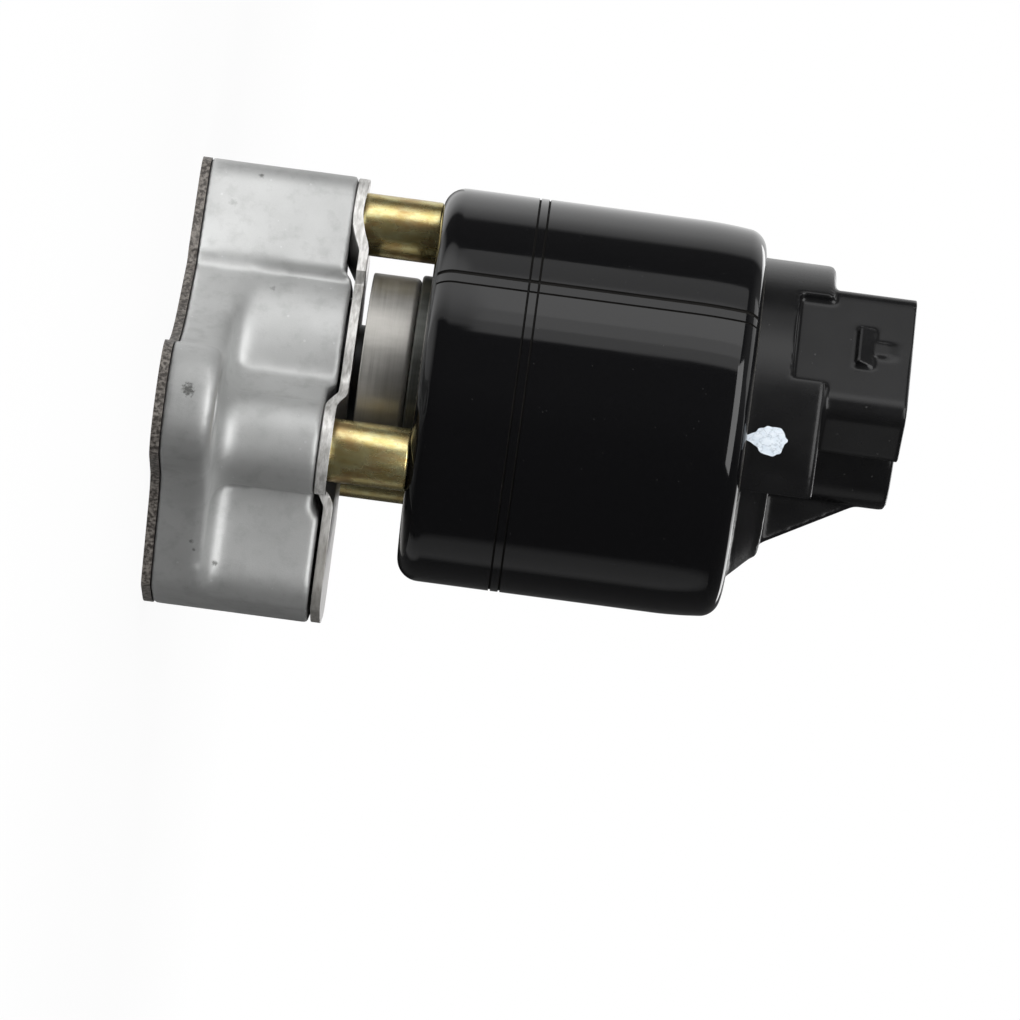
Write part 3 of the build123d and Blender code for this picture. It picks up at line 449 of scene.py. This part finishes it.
paintLook = {
    "dark": (0.66, 0.74, 0.82), "light": (0.80, 0.86, 0.92), "cloud": (0.6, 3.0), "veins": (1.1, 4.0, 0.6),
    "veinWidth": 0.03, "veinShare": 0.75, "veinColour": (0.36, 0.42, 0.48),
    "roughLow": 0.45, "roughHigh": 0.6, "depth": 0.05, "strength": 0.6,
}


def makePaint(look):
    # thick pale paint with thin greyish veins where it dried unevenly
    finish, tree, shader = startFinish("inspectionPaint")
    here = place(tree)
    veins = maths(tree, "ABSOLUTE", maths(tree, "SUBTRACT", noiseAt(tree, here, *look["veins"]), 0.5))
    cloud = noiseAt(tree, here, *look["cloud"])
    base = blendColours(tree, evenly(tree, cloud), look["dark"], look["light"])
    vein = spread(tree, veins, 0.0, look["veinWidth"], look["veinShare"], 0.0)
    base = blendColours(tree, vein, base, look["veinColour"])
    dress(tree, shader, base, evenly(tree, cloud, look["roughLow"], look["roughHigh"]))
    emboss(tree, shader, maths(tree, "ADD", cloud, veins), look["depth"], look["strength"])
    return finish


pressedLook = {
    "faceDark": (0.34, 0.33, 0.32), "faceLight": (0.52, 0.51, 0.50), "cloud": (4.0, 4.0), "faceRough": 0.34,
    "faceMetal": 1.0, "scratches": {"Fineness": 2600.0, "Cut": 0.6}, "scratchTurn": (0, 0, 0.6),
    "cutDark": (0.46, 0.45, 0.43), "cutLight": (0.76, 0.75, 0.73), "torn": (0.45, 3.0, 0.6),
    "tornStretch": (0.25, 0.25, 1), "tornSpread": (0.35, 0.6), "cutRough": 0.48, "cutMetal": 0.6,
    "edgeSpread": (0.35, 0.75), "depth": 0.01, "strength": 0.3,
    # the cut edge is painted darker towards the back of the plate, the side away from the window: painted
    # shade
    "stainAndShade": (0.20, 0.185, 0.16), "paintedShadeFrom": 11, "paintedShadeTo": 16, "paintedShadeShare": 0.6,
}


def makePressed(look):
    # bare sheet: darker rolled faces and paler torn edges
    finish, tree, shader = startFinish("pressedSteel")
    here = place(tree)
    cloud = noiseAt(tree, here, *look["cloud"])
    torn = noiseAt(tree, place(tree, scale=look["tornStretch"]), *look["torn"])
    lines = useGroup(tree, scratchGroup, Vector=place(tree, turn=look["scratchTurn"]), **look["scratches"])
    edge = spread(tree, levelness(tree), *look["edgeSpread"], 1.0, 0.0)
    face = blendColours(tree, evenly(tree, cloud), look["faceDark"], look["faceLight"])
    cut = blendColours(tree, spread(tree, torn, *look["tornSpread"]), look["cutDark"], look["cutLight"])
    # painted shade: the cut edge is darker towards the back of the plate, away from the window
    paintedShadeMask = spread(tree, axisPart(tree, here, "Y"), look["paintedShadeFrom"] * mm, look["paintedShadeTo"] * mm,
                     0.0, look["paintedShadeShare"])
    cut = blendColours(tree, paintedShadeMask, cut, look["stainAndShade"])
    rough = spread(tree, edge, 0.0, 1.0, look["faceRough"], look["cutRough"])
    dress(tree, shader, blendColours(tree, edge, face, cut), rough)
    metal = spread(tree, edge, 0.0, 1.0, look["faceMetal"], look["cutMetal"])
    tree.links.new(metal, shader.inputs["Metallic"])
    height = maths(tree, "ADD", lines, maths(tree, "MULTIPLY", torn, edge))
    emboss(tree, shader, height, look["depth"], look["strength"])
    return finish


gasketLook = {
    "faceDark": (0.020, 0.020, 0.022), "faceLight": (0.050, 0.047, 0.043), "cloud": (6.0, 5.0),
    "cutDark": (0.045, 0.038, 0.033), "cutLight": (0.22, 0.20, 0.18), "fibres": (0.5, 4.0),
    "fibreSpread": (0.42, 0.62), "sideUpTo": 0.5, "dimples": {"Scale": 620.0, "Randomness": 0.25},
    "roughLow": 0.42, "roughHigh": 0.62, "depth": 0.05, "strength": 0.5,
}


def makeGasket(look):
    # dimpled dark facing, with the paler fibres of the core showing at its cut sides
    finish, tree, shader = startFinish("graphiteFacing")
    here = place(tree)
    dimples = addNode(tree, "ShaderNodeTexVoronoi", {"Vector": here, **look["dimples"]}).outputs["Distance"]
    cloud = noiseAt(tree, here, *look["cloud"])
    fibres = spread(tree, noiseAt(tree, here, *look["fibres"]), *look["fibreSpread"])
    side = maths(tree, "LESS_THAN", levelness(tree), look["sideUpTo"])
    face = blendColours(tree, evenly(tree, cloud), look["faceDark"], look["faceLight"])
    cut = blendColours(tree, fibres, look["cutDark"], look["cutLight"])
    rough = evenly(tree, cloud, look["roughLow"], look["roughHigh"])
    dress(tree, shader, blendColours(tree, side, face, cut), rough)
    emboss(tree, shader, maths(tree, "ADD", dimples, fibres), look["depth"], look["strength"])
    return finish


casting = makeCasting(castingLook)
plateSteel = makePressed(pressedLook)
goldSteel = makeGold(goldLook)
blackEnamel = makeEnamel(enamelLook)
daubPaint = makePaint(paintLook)
graphite = makeGasket(gasketLook)
# metals have a colour, a darker colour, a roughness and how scratched they are
screwSteel = makeSteel("zincScrew", (0.55, 0.56, 0.58), (0.40, 0.41, 0.43), 0.28, 0.3)
darkSteel = makeSteel("phosphatedSteel", (0.05, 0.05, 0.052), (0.025, 0.025, 0.027), 0.42, 0.3, metal=0.6)
stainless = makeSteel("stainless", (0.62, 0.61, 0.60), (0.46, 0.45, 0.43), 0.24, 0.3)
poleSteel = makeSteel("turnedSteel", (0.42, 0.42, 0.43), (0.30, 0.30, 0.31), 0.34, 0.4)
springSteel = makeSteel("drawnWire", (0.45, 0.45, 0.46), (0.33, 0.33, 0.34), 0.30, 0.2)
seatSteel = makeSteel("groundSteel", (0.52, 0.51, 0.49), (0.36, 0.34, 0.32), 0.30, 0.5)
bronze = makeSteel("bronze", (0.62, 0.43, 0.22), (0.44, 0.29, 0.14), 0.34, 0.3)
tin = makeSteel("tinPlate", (0.66, 0.66, 0.64), (0.54, 0.54, 0.52), 0.22, 0.2)
copper = makeSteel("enamelledCopper", (0.72, 0.32, 0.16), (0.52, 0.20, 0.09), 0.30, 0.2)
# turned parts have a colour, a darker colour, a roughness and how metallic they are
polishedSteel = makeTurned("polishedSteel", (0.47, 0.455, 0.43), (0.38, 0.37, 0.345), 0.46, 0.85)
# the collar's top edge, against the can, gets the lighter band: dust, and partly a painted highlight
collarSteel = makeTurned("oiledSteel", (0.085, 0.088, 0.08), (0.045, 0.047, 0.042), 0.45, 0.6, dustAndHighlightFrom=32.75)
# plastics and rubber have a colour, a lighter colour and a roughness
capPlastic = makePlastic("satinBlackPlastic", (0.006, 0.006, 0.0063), (0.010, 0.010, 0.0105), 0.25,
                         shine=0.28)
bobbinPlastic = makePlastic("bobbinPlastic", (0.10, 0.10, 0.11), (0.14, 0.14, 0.15), 0.5)
guidePlastic = makePlastic("naturalPlastic", (0.66, 0.63, 0.54), (0.76, 0.74, 0.66), 0.42)
cardLaminate = makePlastic("printedLaminate", (0.14, 0.10, 0.05), (0.22, 0.17, 0.09), 0.5)
sealRubber = makePlastic("sealRubber", (0.018, 0.018, 0.018), (0.035, 0.035, 0.035), 0.6)
grime = makePlastic("grime", (0.006, 0.0055, 0.005), (0.012, 0.011, 0.010), 0.75, shine=0.15)
print("finishes made")

nodeFinishes = {
    "mounting_gasket": graphite, "valve_base": casting, "valve_seat": seatSteel, "stem_bush": darkSteel,
    "gas_deflector": stainless, "clamp_plate": plateSteel, "base_screws": screwSteel,
    "stem_shield": polishedSteel, "shield_collar": collarSteel, "coil_housing": blackEnamel,
    "lower_pole": poleSteel, "upper_pole": poleSteel, "armature_sleeve": stainless,
    "coil_bobbin": bobbinPlastic, "coil_winding": copper, "coil_leads": copper,
    "pintle": stainless, "armature": poleSteel, "armature_nut": screwSteel, "return_spring": springSteel,
    "sensor_cap": capPlastic, "cap_seal": sealRubber, "sensor_guide": guidePlastic,
    "sensor_card": cardLaminate, "sensor_plunger": guidePlastic, "sensor_wiper": bronze,
    "sensor_spring": springSteel,
    **{f"standoff_{number}": goldSteel for number in (1, 2, 3)},
    **{f"terminal_{number}": tin for number in (1, 2, 3, 4, 5)},
}
for nodeName, finish in nodeFinishes.items():
    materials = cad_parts[nodeName].data.materials
    materials.clear()
    materials.append(finish)
print("measured parts finished")

# black can, with two rings and two upright lines scored in it
can = {
    **reachOf("coil_housing"), "wall": 1.5, "cornerRound": 3.0, "segments": 10, "weld": 0.002,
    "crownLevel": 70.7, "crownRound": 50.0, "rimRadius": 26.05, "rimLevel": 76.3, "rimRound": 2.6,
    "mouth": 22.95, "lipRound": 0.35, "lipDepth": 1.8, "passage": 3.8,
    "grooveLevels": (45.8, 47.1), "grooveWidth": 0.30, "grooveDepth": 0.22, "grooveSlope": 0.06,
    "columnAngle": -29.1, "columnGap": 1.65, "columnWidths": (0.55, 0.30), "gapSteps": 2, "columnSteps": 160,
    # a face is on the can's side this near its rim's radius, this upright and this far above its bottom
    "sideReach": 1.0, "sideUpright": 0.3, "sideAbove": 0.6,
}


def makeCan(c):
    # the section is spun through narrow and wide arcs, so that the two narrow columns can be sunk as grooves
    bm = bmesh.new()
    half = c["grooveWidth"] / 2
    inside, lipUnder, floorTop = c["outer"] - c["wall"], c["top"] - c["lipDepth"], c["bottom"] + c["wall"]
    rings = [(c["outer"], level + side * half, 0) for level in c["grooveLevels"] for side in (-1, 1)]
    roundedLoop(bm, [
        (c["passage"], c["bottom"], 0), (c["outer"], c["bottom"], c["cornerRound"]), *rings,
        (c["outer"], c["crownLevel"], c["crownRound"]), (c["rimRadius"], c["rimLevel"], c["rimRound"]),
        (c["mouth"], c["top"], c["lipRound"]), (c["mouth"], lipUnder, 0), (inside, lipUnder, 0),
        (inside, floorTop, c["wall"]), (c["passage"], floorTop, 0),
    ], c["segments"])
    first, second = (width / c["outer"] for width in c["columnWidths"])
    gap = c["columnGap"] / c["outer"] - (first + second) / 2
    start = math.radians(c["columnAngle"]) - (c["columnGap"] / 2) / c["outer"] - first / 2
    bmesh.ops.rotate(bm, cent=(0, axisY, 0), matrix=Matrix.Rotation(start, 3, "Z"), verts=bm.verts)
    section = list(bm.verts) + list(bm.edges)
    columns = []
    for angle, steps, sunk in ((first, 1, True), (gap, c["gapSteps"], False), (second, 1, True),
                               (2 * math.pi - first - second - gap, c["columnSteps"], False)):
        before = set(bm.faces)
        result = bmesh.ops.spin(bm, geom=section, cent=(0, axisY, 0), axis=(0, 0, 1), dvec=(0, 0, 0),
                                angle=angle, steps=steps, use_merge=False, use_duplicate=False)
        section = result["geom_last"]
        if sunk:
            columns += [f for f in bm.faces if f not in before]
    bmesh.ops.remove_doubles(bm, verts=bm.verts, dist=c["weld"])
    bmesh.ops.recalc_face_normals(bm, faces=bm.faces)

    def onSide(face):
        middle = face.calc_center_median()
        outside = math.hypot(middle.x, middle.y - axisY) > c["rimRadius"] - c["sideReach"]
        above = middle.z > c["bottom"] + c["sideAbove"]
        return outside and above and face.normal.xy.length > c["sideUpright"]

    sunkFaces = {f for f in columns if f.is_valid and onSide(f)}
    for level in c["grooveLevels"]:
        sunkFaces |= {f for f in bm.faces if abs(f.calc_center_median().z - level) < half and onSide(f)}
    walls = bmesh.ops.inset_region(bm, faces=list(sunkFaces), thickness=c["grooveSlope"],
                                   depth=-c["grooveDepth"], use_even_offset=True, use_boundary=True)["faces"]
    for face in walls + list(sunkFaces):
        face.material_index = 1
    return bm


canShell = newPiece(makeCan(can), "canShell", blackEnamel, ["coil_housing"], sharpAngle=50)
canShell.data.materials.append(grime)
print("can made")

# plain turned parts below the can
standoff = {**reachOf("standoff_1"), "inner": 2.75, "edge": 0.3, "steps": 72, "segments": 3}
for number in (1, 2, 3):
    tube = turnedShape([
        (standoff["inner"], standoff["bottom"], 0), (standoff["outer"], standoff["bottom"], standoff["edge"]),
        (standoff["outer"], standoff["top"], standoff["edge"]), (standoff["inner"], standoff["top"], 0),
    ], steps=standoff["steps"], segments=standoff["segments"], centre=middleOf(f"standoff_{number}"))
    newPiece(tube, f"spacer_{number}", goldSteel, [f"standoff_{number}"])

shield = {**reachOf("stem_shield"), "inner": 3.8, "wall": 0.8, "round": 0.85, "lip": 0.25}
shieldBore, shieldUnder = shield["outer"] - shield["wall"], shield["top"] - shield["wall"]
newPiece(turnedShape([
    (shield["inner"], shield["top"], 0), (shield["outer"], shield["top"], shield["round"]),
    (shield["outer"], shield["bottom"], shield["lip"]), (shieldBore, shield["bottom"], shield["lip"]),
    (shieldBore, shieldUnder, shield["round"] - shield["wall"]), (shield["inner"], shieldUnder, 0),
]), "shieldCup", polishedSteel, ["stem_shield"])

collar = {**reachOf("shield_collar"), "inner": 3.8, "edge": 0.4, "segments": 3}
newPiece(turnedShape([
    (collar["inner"], collar["bottom"], 0), (collar["outer"], collar["bottom"], collar["edge"]),
    (collar["outer"], collar["top"], 0), (collar["inner"], collar["top"], 0),
], segments=collar["segments"]), "collarRing", collarSteel, ["shield_collar"])
print("turned parts made")


# softened copies of the measured casting and moulding
def evenNet(nodeName, grid, turn=0.0):
    # an even net over a measured part, laid square to whichever of its faces matter most
    source = trimmedCopy(nodeName, 0)
    square = Matrix.Rotation(math.radians(turn), 3, "Z")
    bmesh.ops.rotate(source, cent=(0, axisY, 0), matrix=square, verts=source.verts)
    bmesh.ops.triangulate(source, faces=source.faces)
    mesh = bpy.data.meshes.new("netSource")
    source.to_mesh(mesh)
    source.free()
    holder = bpy.data.objects.new("netSource", mesh)
    bpy.context.scene.collection.objects.link(holder)
    net = holder.modifiers.new("net", "REMESH")
    net.mode, net.voxel_size, net.adaptivity = "VOXEL", grid, 0.0
    bm = bmesh.new()
    bm.from_object(holder, bpy.context.evaluated_depsgraph_get())
    bpy.data.objects.remove(holder)
    bmesh.ops.rotate(bm, cent=(0, axisY, 0), matrix=square.inverted(), verts=bm.verts)
    return bm


def soften(bm, verts, passes):
    for _ in range(passes):
        bmesh.ops.smooth_vert(bm, verts=verts, factor=0.5, use_axis_x=True, use_axis_y=True, use_axis_z=True)


castForm = {"grid": 0.385, "passes": 2, "footLow": 4.0, "footHigh": 13.0, "footPasses": 10, "sharpAngle": 60}
castNet = evenNet("valve_base", castForm["grid"])
soften(castNet, list(castNet.verts), castForm["passes"])
footVerts = [v for v in castNet.verts if castForm["footLow"] < v.co.z < castForm["footHigh"]]
soften(castNet, footVerts, castForm["footPasses"])
newPiece(castNet, "baseCasting", casting, ["valve_base"], sharpAngle=castForm["sharpAngle"])

# turn is the connector's, and the ribs start this far from the axis on the other side
capForm = {"grid": 0.34, "passes": 1, "turn": 33.0, "ribStart": 3, "ribPasses": 5, "sharpAngle": 60}
capNet = evenNet("sensor_cap", capForm["grid"], capForm["turn"])
soften(capNet, list(capNet.verts), capForm["passes"])
connectorWay = Vector((math.cos(math.radians(capForm["turn"])), -math.sin(math.radians(capForm["turn"])), 0))
axisFoot = Vector((0, axisY, 0))
ribVerts = [v for v in capNet.verts if (v.co - axisFoot).dot(connectorWay) < -capForm["ribStart"]]
soften(capNet, ribVerts, capForm["ribPasses"])
newPiece(capNet, "capMoulding", capPlastic, ["sensor_cap"], sharpAngle=capForm["sharpAngle"])

plateForm = {"edge": 0.10, "sharpAngle": 40, "evenWeight": 60}
plate = newPiece(trimmedCopy("clamp_plate", plateForm["edge"]), "pressedPlate", plateSteel,
                 ["clamp_plate"], sharpAngle=plateForm["sharpAngle"])
shading = plate.modifiers.new("evenShading", "WEIGHTED_NORMAL")
shading.keep_sharp, shading.weight = True, plateForm["evenWeight"]
print("trimmed copies made")

# springs, squeezed between the valve and the part that moves against them
springs = {"return_spring": ("pintle_body", 53.0, 67.0), "sensor_spring": ("sensor_slider", 82.6, 93.6)}
for nodeName, squeezed in springs.items():
    newPiece(trimmedCopy(nodeName, 0), nodeName.replace("_spring", "Coil"), springSteel,
             [nodeName], squeezed=squeezed)
print("springs made")

# daub of inspection paint on the cap, with its point towards the can
daub = {
    "radius": 22.81, "height": 79.9, "turn": 7.3, "thick": 0.07, "rim": 0.10, "points": 72, "cuts": 2,
    "long": 2.35, "wide": 1.85, "tail": 1.0, "tailPoint": 6, "waist": 0.35, "ragged": 0.22, "coarse": 1.3,
    "fine": 3.4, "fineShare": 0.6, "lumps": 2.5, "lumpHeight": 0.015,
}


def makeDaub(d):
    # a flat blob, ragged round its edge and drawn out to a point towards the can, wrapped round the cap
    bm = bmesh.new()
    bmesh.ops.create_circle(bm, cap_ends=True, cap_tris=False, segments=d["points"], radius=1.0)
    for vert in bm.verts:
        angle = math.atan2(vert.co.y, vert.co.x)
        swell = noise.noise(vert.co * d["coarse"]) + d["fineShare"] * noise.noise(vert.co * d["fine"])
        swell = 1 + d["ragged"] * swell
        back = max(0.0, -math.cos(angle))
        long = d["long"] * swell + back ** d["tailPoint"] * d["tail"]
        wide = d["wide"] * swell * (1 - d["waist"] * back ** 2)
        vert.co = Vector((vert.co.x * long, vert.co.y * wide, 0))
    bmesh.ops.inset_region(bm, faces=bm.faces[:], thickness=d["rim"], depth=d["thick"], use_even_offset=True)
    bmesh.ops.triangulate(bm, faces=bm.faces[:])
    bmesh.ops.subdivide_edges(bm, edges=bm.edges[:], cuts=d["cuts"], use_grid_fill=True)
    for vert in bm.verts:
        lift = d["radius"] + vert.co.z + d["lumpHeight"] * noise.noise(vert.co * d["lumps"])
        angle = math.radians(d["turn"]) + vert.co.y / d["radius"]
        vert.co = Vector((lift * math.cos(angle), axisY + lift * math.sin(angle), d["height"] + vert.co.x))
    bmesh.ops.recalc_face_normals(bm, faces=bm.faces)
    return bm


newPiece(makeDaub(daub), "paintDaub", daubPaint)
print("daub made")

# what shiny faces see of the room: turns run from the camera's side towards the window, and a spread is
# where a light part starts and where it is full, about the cosine of the angle to its middle or to an axis
room = {
    "dark": 0.085, "darkFar": 0.05, "darkSpread": (0.0, 0.4), "windowSide": (0.05, -0.25),
    "backdropTurn": 146.0, "backdropSpread": (0.70, 0.95), "backdrop": 0.95, "backdropEdge": (0.80, 0.85),
    "behindWay": (-1.0, 0.0, 0.3), "behindSpread": (0.75, 1.0), "behind": 0.42,
    "cardTurn": -113.0, "cardSpread": (0.965, 0.99), "card": 0.30,
    "ceilingSpread": (0.42, 0.80), "ceiling": 0.30, "ceilingSide": (0.25, -0.15), "ceilingFar": 0.15,
}


def turnedWay(turn, rise=0.0):
    angle = math.radians(turn)
    return math.cos(angle), -math.sin(angle), rise


def along(tree, way, other):
    return vectorMaths(tree, "DOT_PRODUCT", "Value", way, other)


def roomShine(tree, way, r):
    # a dark room with a white sweep behind the valve and a dim card beside it
    facing = along(tree, way, turnedWay(r["backdropTurn"]))
    backdrop = maths(tree, "MULTIPLY", spread(tree, facing, *r["backdropEdge"]),
                     spread(tree, facing, *r["backdropSpread"], 0.0, r["backdrop"]))
    across = axisPart(tree, way, "Y")
    behind = spread(tree, along(tree, way, r["behindWay"]), *r["behindSpread"], 0.0, r["behind"])
    behind = maths(tree, "MULTIPLY", behind, spread(tree, across, *r["windowSide"]))
    card = spread(tree, along(tree, way, turnedWay(r["cardTurn"])), *r["cardSpread"], 0.0, r["card"])
    dark = spread(tree, across, *r["darkSpread"], r["dark"], r["darkFar"])
    shine = maths(tree, "MAXIMUM", backdrop, behind)
    return maths(tree, "MAXIMUM", maths(tree, "MAXIMUM", shine, card), dark)


# near and far are the distances over which the floor turns plain white; the stage, the lamps and the
# camera have their lengths in metres
stage = {
    "size": 0.6, "drop": 0.00002, "grey": 0.74, "whiteShare": 0.92, "near": 0.10, "far": 0.40,
    "windowTurn": 56.5, "windowSpread": (0.895, 0.92), "window": 0.95,
    "middleSpread": (0.93, 1.0), "middle": 1.2,
    "nearY": (-0.016, 0.012), "nearShine": (1.2, 0.24), "nearReach": (0.035, 0.055),
    "farWay": (-1.0, 0.0, 0.0), "farSpread": (0.88, 0.97), "farShare": 0.1,
}


def makeFloor(s):
    # white to the eye; shiny faces see the room's lower half in it, and a bright patch near the valve on the
    # window's side: a painted reflection of lit floor
    finish = bpy.data.materials.new("paleFloor")
    finish.use_nodes = True
    tree = finish.node_tree
    tree.nodes.clear()
    leave = addNode(tree, "ShaderNodeOutputMaterial")
    plain = addNode(tree, "ShaderNodeBsdfDiffuse", {"Color": (s["grey"], s["grey"], s["grey"], 1)})
    rays = addNode(tree, "ShaderNodeLightPath")
    straight = maths(tree, "MAXIMUM", rays.outputs["Is Camera Ray"], rays.outputs["Is Transmission Ray"])
    seen = maths(tree, "MAXIMUM", straight, rays.outputs["Is Glossy Ray"])
    here = place(tree)
    fromAxis = place(tree, shift=(0, -axisY * mm, 0))
    way = vectorMaths(tree, "NORMALIZE", "Vector", fromAxis)
    reach = vectorMaths(tree, "LENGTH", "Value", fromAxis)
    towards = along(tree, way, turnedWay(s["windowTurn"]))
    window = maths(tree, "ADD", spread(tree, towards, *s["windowSpread"], 0.0, s["window"]),
                   spread(tree, towards, *s["middleSpread"], 0.0, s["middle"]))
    # a bright patch near the valve on the window's side, which only shiny faces see: a painted reflection
    near = spread(tree, axisPart(tree, here, "Y"), *s["nearY"], *s["nearShine"])
    near = maths(tree, "MULTIPLY", near, spread(tree, reach, *s["nearReach"], 1.0, 0.0))
    farSide = spread(tree, along(tree, way, s["farWay"]), *s["farSpread"], 1.0, s["farShare"])
    shine = maths(tree, "MULTIPLY", roomShine(tree, way, room), farSide)
    shine = maths(tree, "MAXIMUM", shine, maths(tree, "MAXIMUM", window, near))
    strength = maths(tree, "MAXIMUM", straight, maths(tree, "MULTIPLY", shine, rays.outputs["Is Glossy Ray"]))
    glow = addNode(tree, "ShaderNodeEmission", {"Color": (1, 1, 1, 1), "Strength": strength})
    away = vectorMaths(tree, "LENGTH", "Value", here)
    share = spread(tree, away, s["near"], s["far"], s["whiteShare"], 1.0)
    share = maths(tree, "MAXIMUM", share, rays.outputs["Is Glossy Ray"])
    both = addNode(tree, "ShaderNodeMixShader", {0: maths(tree, "MULTIPLY", seen, share),
                   1: plain.outputs["BSDF"], 2: glow.outputs["Emission"]})
    tree.links.new(both.outputs["Shader"], leave.inputs["Surface"])
    bm = bmesh.new()
    bmesh.ops.create_grid(bm, x_segments=1, y_segments=1, size=s["size"])
    mesh = bpy.data.meshes.new("floor")
    bm.to_mesh(mesh)
    bm.free()
    mesh.materials.append(finish)
    floor = bpy.data.objects.new("floor", mesh)
    bpy.context.scene.collection.objects.link(floor)
    floor.location = (0, 0, -s["drop"])


makeFloor(stage)

skyFill = 0.07  # what the whole sky adds for matt faces


def makeSky(fill):
    # what looks straight at the sky sees plain white; only shiny and matt faces see the room
    world = bpy.data.worlds.new("studio")
    bpy.context.scene.world = world
    world.use_nodes = True
    tree = world.node_tree
    tree.nodes.clear()
    leave = addNode(tree, "ShaderNodeOutputWorld")
    rays = addNode(tree, "ShaderNodeLightPath")
    way = addNode(tree, "ShaderNodeTexCoord").outputs["Generated"]
    ceiling = spread(tree, axisPart(tree, way, "Z"), *room["ceilingSpread"], 0.0, room["ceiling"])
    overWindow = spread(tree, axisPart(tree, way, "Y"), *room["ceilingSide"], room["ceilingFar"], 1.0)
    shine = maths(tree, "MAXIMUM", roomShine(tree, way, room), maths(tree, "MULTIPLY", ceiling, overWindow))
    seen = maths(tree, "MAXIMUM", rays.outputs["Is Camera Ray"], rays.outputs["Is Transmission Ray"])
    glossy = maths(tree, "MULTIPLY", rays.outputs["Is Glossy Ray"], shine)
    neither = maths(tree, "SUBTRACT", 1.0, maths(tree, "MAXIMUM", seen, rays.outputs["Is Glossy Ray"]))
    matt = maths(tree, "MULTIPLY", neither, maths(tree, "ADD", shine, fill))
    strength = maths(tree, "ADD", maths(tree, "MAXIMUM", seen, glossy), matt)
    glow = addNode(tree, "ShaderNodeBackground", {"Color": (1, 1, 1, 1), "Strength": strength})
    tree.links.new(glow.outputs["Background"], leave.inputs["Surface"])


makeSky(skyFill)

aim = Vector((0, 6.7, 47.2)) * mm


def softLight(name, direction, distance, size, power):
    data = bpy.data.lights.new(name, "AREA")
    data.shape, data.size, data.size_y, data.energy = "RECTANGLE", size[0], size[1], power
    lamp = bpy.data.objects.new(name, data)
    bpy.context.scene.collection.objects.link(lamp)
    lamp.location = aim + Vector(direction).normalized() * distance
    lamp.rotation_euler = (aim - lamp.location).to_track_quat("-Z", "Y").to_euler()
    lamp.visible_camera = False


# the window is a wide panel with narrower ones just in front, so that it is brightest in its middle;
# each panel has its turn, its width and how bright it looks
windowLight = {"rise": 0.16, "distance": 1.0, "step": 0.01, "height": 0.56,
               "panels": ((56.5, 1.03, 0.85), (50.0, 0.72, 0.45), (51.0, 0.50, 0.60), (52.0, 0.26, 0.50))}
for number, (turn, width, brightness) in enumerate(windowLight["panels"]):
    height = windowLight["height"]
    softLight(f"window{number + 1}", turnedWay(turn, windowLight["rise"]),
              windowLight["distance"] - number * windowLight["step"], (width, height),
              brightness * math.pi * width * height)

# each lamp has its direction from the valve, its distance, its two sides and its watts
lamps = {
    "upperFront": ((0.82, -0.03, 0.65), 1.1, (1.2, 0.66), 10.5),
    "capSide": ((-0.3, -0.3, 1.0), 1.1, (0.7, 0.7), 2.0),
    "farSide": ((-0.9, -0.1, 0.7), 1.2, (0.8, 0.8), 4.5),
}
for name, lamp in lamps.items():
    softLight(name, *lamp)

# the camera lies on its side, so that the upright valve is seen lying down
view = {"distance": 1.0, "turn": 2.7, "tilt": 7.6, "pixelsPerMetre": 7430.0, "frame": 1020, "sensor": 36.0,
        "nearest": 0.05, "farthest": 20.0}


def makeCamera(v):
    data = bpy.data.cameras.new("camera")
    data.sensor_width = v["sensor"]
    data.lens = v["pixelsPerMetre"] * v["distance"] * data.sensor_width / v["frame"]
    camera = bpy.data.objects.new("camera", data)
    bpy.context.scene.collection.objects.link(camera)
    turn, tilt = math.radians(v["turn"]), math.radians(v["tilt"])
    back = Vector((math.cos(turn), math.sin(turn), 0))
    level = Vector((-math.sin(turn), math.cos(turn), 0))
    up = Vector((0, 0, 1))
    right = up * math.cos(tilt) - level * math.sin(tilt)
    top = -up * math.sin(tilt) - level * math.cos(tilt)
    pose = Matrix((right, top, back)).transposed().to_4x4()
    camera.matrix_world = Matrix.Translation(aim + back * v["distance"]) @ pose
    data.clip_start, data.clip_end = v["nearest"], v["farthest"]
    bpy.context.scene.camera = camera


makeCamera(view)
bpy.context.scene.view_settings.view_transform = "Standard"
print("stage, light and camera set")
